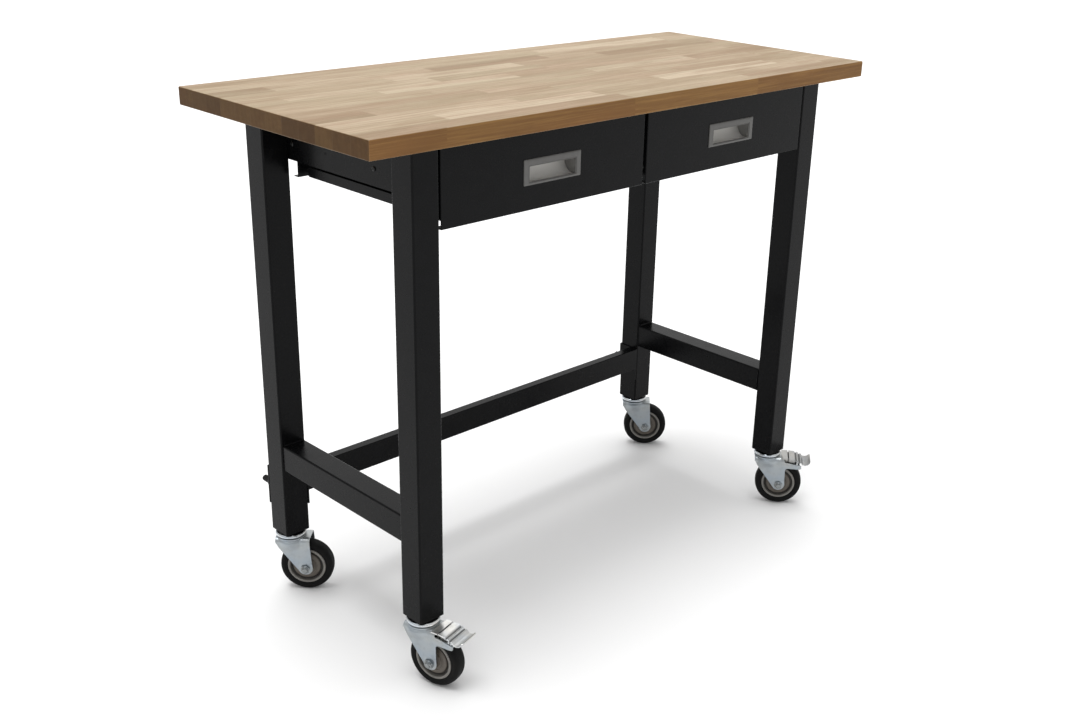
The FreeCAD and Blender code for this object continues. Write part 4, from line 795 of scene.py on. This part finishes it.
def make_pivots(corner, place):
    """Domed rivets of the pedal on both cheeks, and the stop pin across the ears, headed at its -Y end."""
    bm = bmesh.new()
    for spot, radius, hand, reach in ((PEDAL_PIVOT, 4.5, -1, 14.5), (PEDAL_PIVOT, 4.5, 1, 14.5),
                                      (STOP_PIN, 3.6, -1, -CHEEK)):
        head = [(0, CHEEK + 1.45), (radius * 0.45, CHEEK + 1.3), (radius * 0.8, CHEEK + 0.8),
                (radius * 0.97, CHEEK + 0.25), (radius * 0.97, CHEEK - 0.05), (SHANK, CHEEK - 0.05), (SHANK, reach)]
        if spot == PEDAL_PIVOT:
            head.append((0, reach))
        lathe(bm, [(r, hand * y) for r, y in head], HEAD_SEGMENTS, "Y", (spot[0], 0, spot[1]), closed=False)
    # the stop pin's head again, a little blunter, over the first
    head = [(SHANK, 0.05 - CHEEK), (3.49, 0.05 - CHEEK), (3.49, -0.25 - CHEEK), (2.9, -0.8 - CHEEK),
            (1.8, -1.3 - CHEEK), (0, -1.45 - CHEEK)]
    lathe(bm, head, HEAD_SEGMENTS, "Y", (STOP_PIN[0], 0, STOP_PIN[1]), closed=False)
    bmesh.ops.remove_doubles(bm, verts=bm.verts, dist=0.02 * MM)
    add_piece(f"pedal_rivets_{corner}", bm, f"swivel_{corner}", "caster_zinc", place, [f"caster_{corner}_pedal_pivots"])


def caster_place(corner):
    """From the drawn caster to its place under the leg, worked out from its two joints."""
    joints = {joint["name"]: joint for joint in frame["joints"]}
    swivel = Vector(joints[f"swivel_{corner}_turn"]["pos_m"])
    wheel = Vector(joints[f"wheel_{corner}_spin"]["pos_m"])
    turn = math.atan2(wheel.y - swivel.y, wheel.x - swivel.x)
    return Matrix.Translation((swivel.x, swivel.y, 0)) @ Matrix.Rotation(turn, 4, "Z")


def make_casters():
    """All four casters; only the front two have a brake."""
    for corner in CORNERS:
        place = caster_place(corner)
        make_mount(corner, place)
        make_fork(corner, place)
        make_axle(corner, place)
        make_wheel(corner, place)
        if corner.startswith("front"):
            make_pedal(corner, place)
            make_pivots(corner, place)


# ------------ pulls, screws, nuts and welds

# rounded rectangles of (half width, lowest and highest z, corner radius, y), from the rim's back to the scoop
PULL_FLANGE = ((63, -21, 21, 1.6, 2.0), (63, -21, 21, 1.6, 1.2), (62.6, -20.6, 20.6, 1.5, 0.75),
               (60.4, -18.6, 18.6, 1.2, 0.0), (53.4, -17.5, 11.6, 1.4, 0.0), (52.9, -17.1, 11.1, 1.3, 0.9),
               (51.3, -16.0, 9.7, 1.1, 0.9), (50.6, -15.6, 9.1, 0.9, 1.2), (50.5, -15.5, 9.0, 0.8, 2.0))
# the scoop's floor as (depth, z), and its ceiling and half width
PULL_RAMP = ((4, -15.9), (8, -16.3), (11, -16.2), (14, -15.4), (17, -13.6), (20, -10.8), (22.5, -7.4),
             (24.8, -3.2), (26.4, 1.2), (27.4, 5.2), (28, 8.4))
SCOOP_TOP = 10.2
SCOOP_HALF = 50.5
PULL_WALL = 1.3


def loop_at(bm, half_x, low_z, high_z, radius, y):
    """A loop of vertices round a rectangle with rounded corners, seen from the front."""
    corners = [(half_x, low_z), (half_x, high_z), (-half_x, high_z), (-half_x, low_z)]
    size = max(0.02, min(radius, half_x * 0.9, (high_z - low_z) * 0.44))
    return [bm.verts.new(Vector((x, y, z)) * MM) for x, z in rounded(corners, size)]


def make_pull(side):
    """Recessed pull: a flange with an outer bevel and a sunk border, and a scoop whose floor ramps up and back."""
    low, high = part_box(f"drawer_{side}_pull")
    middle = Vector(((low[0] + high[0]) / 2, low[1], low[2] + PULL_FLANGE[0][2] * MM))
    bm = bmesh.new()
    wall = PULL_WALL
    inner = [loop_at(bm, SCOOP_HALF, floor, SCOOP_TOP, 1.2, depth) for depth, floor in reversed(PULL_RAMP)]
    outer = [loop_at(bm, SCOOP_HALF + wall, floor - wall, SCOOP_TOP + wall, 1.6, depth + wall * 0.4)
             for depth, floor in PULL_RAMP]
    flange = [loop_at(bm, *spot) for spot in reversed(PULL_FLANGE)]
    half_x, low_z, high_z, _, y = PULL_FLANGE[-1]
    root = loop_at(bm, half_x + wall, low_z - wall, high_z + wall, 1.6, y)
    skin(bm, [*inner, *flange, root, *outer])
    add_piece(f"pull_{side}", bm, f"drawer_{side}", "pull_metal", Matrix.Translation(middle),
              [f"drawer_{side}_pull"], sharp=28)


def separate_parts(name):
    """The lowest and highest corners, in millimetres, of each separate solid in a group node, and its vertices."""
    bm = bmesh.new()
    bm.from_mesh(nodes[name].data)
    bmesh.ops.remove_doubles(bm, verts=bm.verts, dist=0.002 * MM)
    waiting = set(bm.verts)
    parts = []
    while waiting:
        stack, spots = [waiting.pop()], []
        while stack:
            vert = stack.pop()
            spots.append(vert.co / MM)
            for edge in vert.link_edges:
                other = edge.other_vert(vert)
                if other in waiting:
                    waiting.discard(other)
                    stack.append(other)
        low, high = (Vector([pick(spot[i] for spot in spots) for i in range(3)]) for pick in (min, max))
        parts.append((low, high, spots))
    bm.free()
    return sorted(parts, key=lambda part: tuple(part[0]))


def long_axis(low, high):
    """The axis of a round part, the one whose extent is unlike the other two."""
    size = high - low
    return max(range(3), key=lambda i: min(abs(size[i] - size[j]) for j in range(3) if j != i))


def head_end(axis, low, high, spots):
    """Which end of a screw its head is at: -1 for the low end, 1 for the high end."""
    middle = (low + high) / 2
    across = [i for i in range(3) if i != axis]
    reach = {-1: 0.0, 1: 0.0}
    for spot in spots:
        end = 1 if spot[axis] > middle[axis] else -1
        wide = math.hypot(*(spot[i] - middle[i] for i in across))
        depth = abs(spot[axis] - middle[axis])
        reach[end] = max(reach[end], wide * (depth > (high - low)[axis] * 0.3))
    return 1 if reach[1] > reach[-1] else -1


def cross_radius(arm):
    """Distance from the centre to the edge of a cross recess, by angle."""
    half = arm * math.tan(math.radians(15))

    def at_angle(angle):
        c, s = max(abs(math.cos(angle)), 1e-6), max(abs(math.sin(angle)), 1e-6)
        return max(min(arm / c, half / s), min(half / c, arm / s))
    return at_angle


# a pan head's edge from under it to its recess, as shares of its radius and height
PAN_HEAD = ((0.985, 0), (1, 0.14), (0.985, 0.42), (0.93, 0.64), (0.82, 0.83), (0.68, 0.95), (0.56, 1))


def cross_screw(bm, axis, at, way, radius, height, shank, length):
    """Pan-headed screw with a cross recess; way is the direction its head faces, at is under the head."""
    recess = cross_radius(radius * 0.5)
    floor = height * 0.25
    profile = [(0, -length), (shank * 0.75, -length), (shank, -length + shank * 0.3), (shank, 0),
               *((radius * wide, height * high) for wide, high in PAN_HEAD),
               (recess, height), (lambda a: recess(a) * 0.62, floor), (0, floor * 0.7)]
    lathe(bm, [(r, way * h) for r, h in profile], 48, "XYZ"[axis], at, closed=False)


# head height and shank radius of each group of screws
SCREW_SIZES = {"case": (2.2, 2.5), "worktop": (2.5, 2.25), "drawer_left": (2.2, 2), "drawer_right": (2.2, 2)}


def make_screws():
    """Every screw of the case, the worktop and the drawers, each at its place in the CAD group."""
    for group, (height, shank) in SCREW_SIZES.items():
        bm = bmesh.new()
        for low, high, spots in separate_parts(f"{group}_screws"):
            axis = long_axis(low, high)
            way = head_end(axis, low, high, spots)
            at = (low + high) / 2
            at[axis] = high[axis] - height if way > 0 else low[axis] + height
            radius = max((high - low)[i] for i in range(3) if i != axis) / 2
            cross_screw(bm, axis, at, way, radius, height, shank, (high - low)[axis] - height)
        body = group if group.startswith("drawer") else "frame"
        slot = "zinc" if group == "worktop" else "black_steel"
        add_piece(f"{group}_screw_set", bm, body, slot, stands_for=[f"{group}_screws"])


STUD_PITCH = 1.25
NUT_BORE = 3.9


def make_stretcher_fixings():
    """Threaded studs and chamfered nuts that hold the stretcher's brackets."""
    bm = bmesh.new()
    for low, high, _ in separate_parts("stretcher_studs"):
        at = ((low.x + high.x) / 2, 0, (low.z + high.z) / 2)
        threaded(bm, (high.z - low.z) / 2, STUD_PITCH, low.y, high.y, at)
    add_piece("stretcher_stud_threads", bm, "frame", "black_steel", stands_for=["stretcher_studs"], sharp=50)
    bm = bmesh.new()
    for low, high, _ in separate_parts("stretcher_nuts"):
        at, size = ((low.x + high.x) / 2, 0, (low.z + high.z) / 2), high - low
        hex_prism(bm, min(size.x, size.z), low.y, high.y, at, NUT_BORE, turn=0 if size.z < size.x else math.pi / 6)
    add_piece("stretcher_lock_nuts", bm, "frame", "black_steel", stands_for=["stretcher_nuts"])


SPARE_HOLE_Y = 66    # behind the frame's middle
# a plug's (radius, height from the panel's face)
PLUG = ((0, 0.5), (1.4, 0.42), (2.4, 0.2), (2.49, -0.2), (2.49, -1.3), (0, -1.3))


def make_hole_plugs():
    """A black plug in the spare screw hole of each side panel, level with the case's first screw."""
    bm = bmesh.new()
    low, high, _ = separate_parts("case_screws")[0]
    z = (low.z + high.z) / 2
    for hand, side in ((-1, "left"), (1, "right")):
        face = max(abs(corner[0]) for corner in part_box(f"case_side_{side}")) / MM
        profile = [(radius, hand * (face + height)) for radius, height in PLUG]
        lathe(bm, profile, 32, "X", (0, SPARE_HOLE_Y + MIDDLE_Y / MM, z), closed=False)
    add_piece("spare_hole_plugs", bm, "frame", "black_powder")


WELD_SIZE = 2.4
WELD_RIPPLE = 2.2
WELD_INSET = 2.5


def weld(bm, start, end, first, second):
    """A rippled fillet bead in the corner between two faces; first and second point away from the corner."""
    start, end, first, second = (Vector(item) for item in (start, end, first, second))
    length = (end - start).length
    count = max(8, int(length / (WELD_RIPPLE / 4)))
    rings = []
    for i in range(count + 1):
        share = i / count
        wave = abs(math.sin(math.pi * share * length / WELD_RIPPLE))
        size = WELD_SIZE * (0.82 + 0.18 * wave) * math.sqrt(max(0.02, 1 - (2 * share - 1) ** 12))
        middle = start.lerp(end, share)
        spots = [middle - (first + second) * 0.3]
        for angle in (math.radians(degrees) for degrees in (0, 30, 60, 90)):
            bulge = size * (0.80 + 0.20 * abs(math.cos(2 * angle)))
            spots.append(middle + (first * math.cos(angle) + second * math.sin(angle)) * bulge)
        rings.append([bm.verts.new(spot * MM) for spot in spots])
    skin(bm, rings)


def make_rail_welds():
    """Beads round both ends of each lower rail, above, below and on the inner side, under the powder coat."""
    bm = bmesh.new()
    for side in SIDES:
        low, high = (Vector(corner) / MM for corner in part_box(f"end_rail_{side}"))
        for y, out in ((low.y, 1), (high.y, -1)):
            away = (0, out, 0)
            for z, up in ((low.z, -1), (high.z, 1)):
                weld(bm, (low.x + WELD_INSET, y, z), (high.x - WELD_INSET, y, z), away, (0, 0, up))
            for x, turn in ((low.x, -1), (high.x, 1)):
                if abs(x) < abs((low.x + high.x) / 2):
                    weld(bm, (x, y, low.z + WELD_INSET), (x, y, high.z - WELD_INSET), away, (turn, 0, 0))
    add_piece("rail_weld_beads", bm, "frame", "black_powder", sharp=60)


make_casters()
for drawer in SIDES:
    make_pull(drawer)
make_screws()
make_stretcher_fixings()
make_hole_plugs()
make_rail_welds()


# ------------ stage, light, camera

FLOOR_HALF = 100
SKY = ((0.35, 0.62), (1.0, 0.96))    # (height of a direction, brightness)
WALL_DIRECTION = (0.50, 0.73, 0.46)
WALL_RANGE = (0.74, 0.96)    # how nearly a direction points at the wall, from no gain to all of it
WALL_GAIN = 1.85
SUN_STRENGTH = 2.35
SUN_WIDTH = math.radians(40)
SUN_TILT = (math.radians(-3), math.radians(-4), 0)


def make_stage():
    """A wide pale floor that shows only the bench's soft shadow."""
    corners = [(x * FLOOR_HALF, y * FLOOR_HALF, 0) for x, y in ((-1, -1), (1, -1), (1, 1), (-1, 1))]
    mesh = bpy.data.meshes.new("floor")
    mesh.from_pydata(corners, [], [(0, 1, 2, 3)])
    s = Shader("pale_floor", (0.9, 0.9, 0.9))
    tone = s.mix(s.noise(scale=3.0), (0.83, 0.83, 0.83), (0.85, 0.85, 0.85))
    mesh.materials.append(s.set(Base_Color=tone, Roughness=0.9, Specular_IOR_Level=0.1))
    floor = add_object("floor", mesh)


def make_light():
    """A surround that brightens towards the ceiling and a bright wall, and one very broad lamp almost overhead."""
    world = bpy.data.worlds.new("studio_surround")
    bpy.context.scene.world = world
    world.use_nodes = True
    s = Nodes(world.node_tree)
    direction = s.add("ShaderNodeTexCoord").outputs["Generated"]
    most = SKY[-1][1]
    shade = s.ramp(s.split(direction)["Z"], *((height, (level / most,) * 3) for height, level in SKY))
    toward = s.vector("DOT_PRODUCT", direction, WALL_DIRECTION, "Value")
    background = s.tree.nodes["Background"]
    s.feed(background.inputs["Color"], shade)
    s.feed(background.inputs["Strength"], s.span(toward, *WALL_RANGE, most, most * WALL_GAIN, smooth=True))
    light = bpy.data.lights.new("overhead", "SUN")
    light.energy = SUN_STRENGTH
    light.angle = SUN_WIDTH
    lamp = add_object("overhead", light)
    lamp.location = (0, 0, 3)
    lamp.rotation_euler = SUN_TILT


# the camera fitted to the photograph, placed from the worktop's upper face
CAMERA_PLACE = Vector((-1.6163, -1.6519 + MIDDLE_Y, TOP_HIGH[2] + 0.3737))
CAMERA_RIGHT = Vector((0.70379, -0.70979, 0.02955))
CAMERA_DOWN = Vector((-0.24414, -0.28072, -0.92822))
PHOTO_WIDTH, PHOTO_HEIGHT = 1080, 720
PHOTO_CENTRE = (581.5, 357.5)
FOCAL_PIXELS = 1273.68
SENSOR_WIDTH = 36


def make_camera():
    """The photograph's camera, with a shift for its off-centre crop."""
    camera = bpy.data.cameras.new("camera")
    camera.sensor_width = SENSOR_WIDTH
    camera.lens = FOCAL_PIXELS / PHOTO_WIDTH * SENSOR_WIDTH
    camera.shift_x = -(PHOTO_CENTRE[0] - PHOTO_WIDTH / 2) / PHOTO_WIDTH
    camera.shift_y = (PHOTO_CENTRE[1] - PHOTO_HEIGHT / 2) / PHOTO_WIDTH
    eye = add_object("camera", camera)
    turn = Matrix((CAMERA_RIGHT, -CAMERA_DOWN, CAMERA_DOWN.cross(CAMERA_RIGHT))).transposed()
    eye.matrix_world = Matrix.Translation(CAMERA_PLACE) @ turn.to_4x4()
    bpy.context.scene.camera = eye


make_stage()
make_light()
make_camera()
bpy.context.scene.view_settings.view_transform = "Standard"
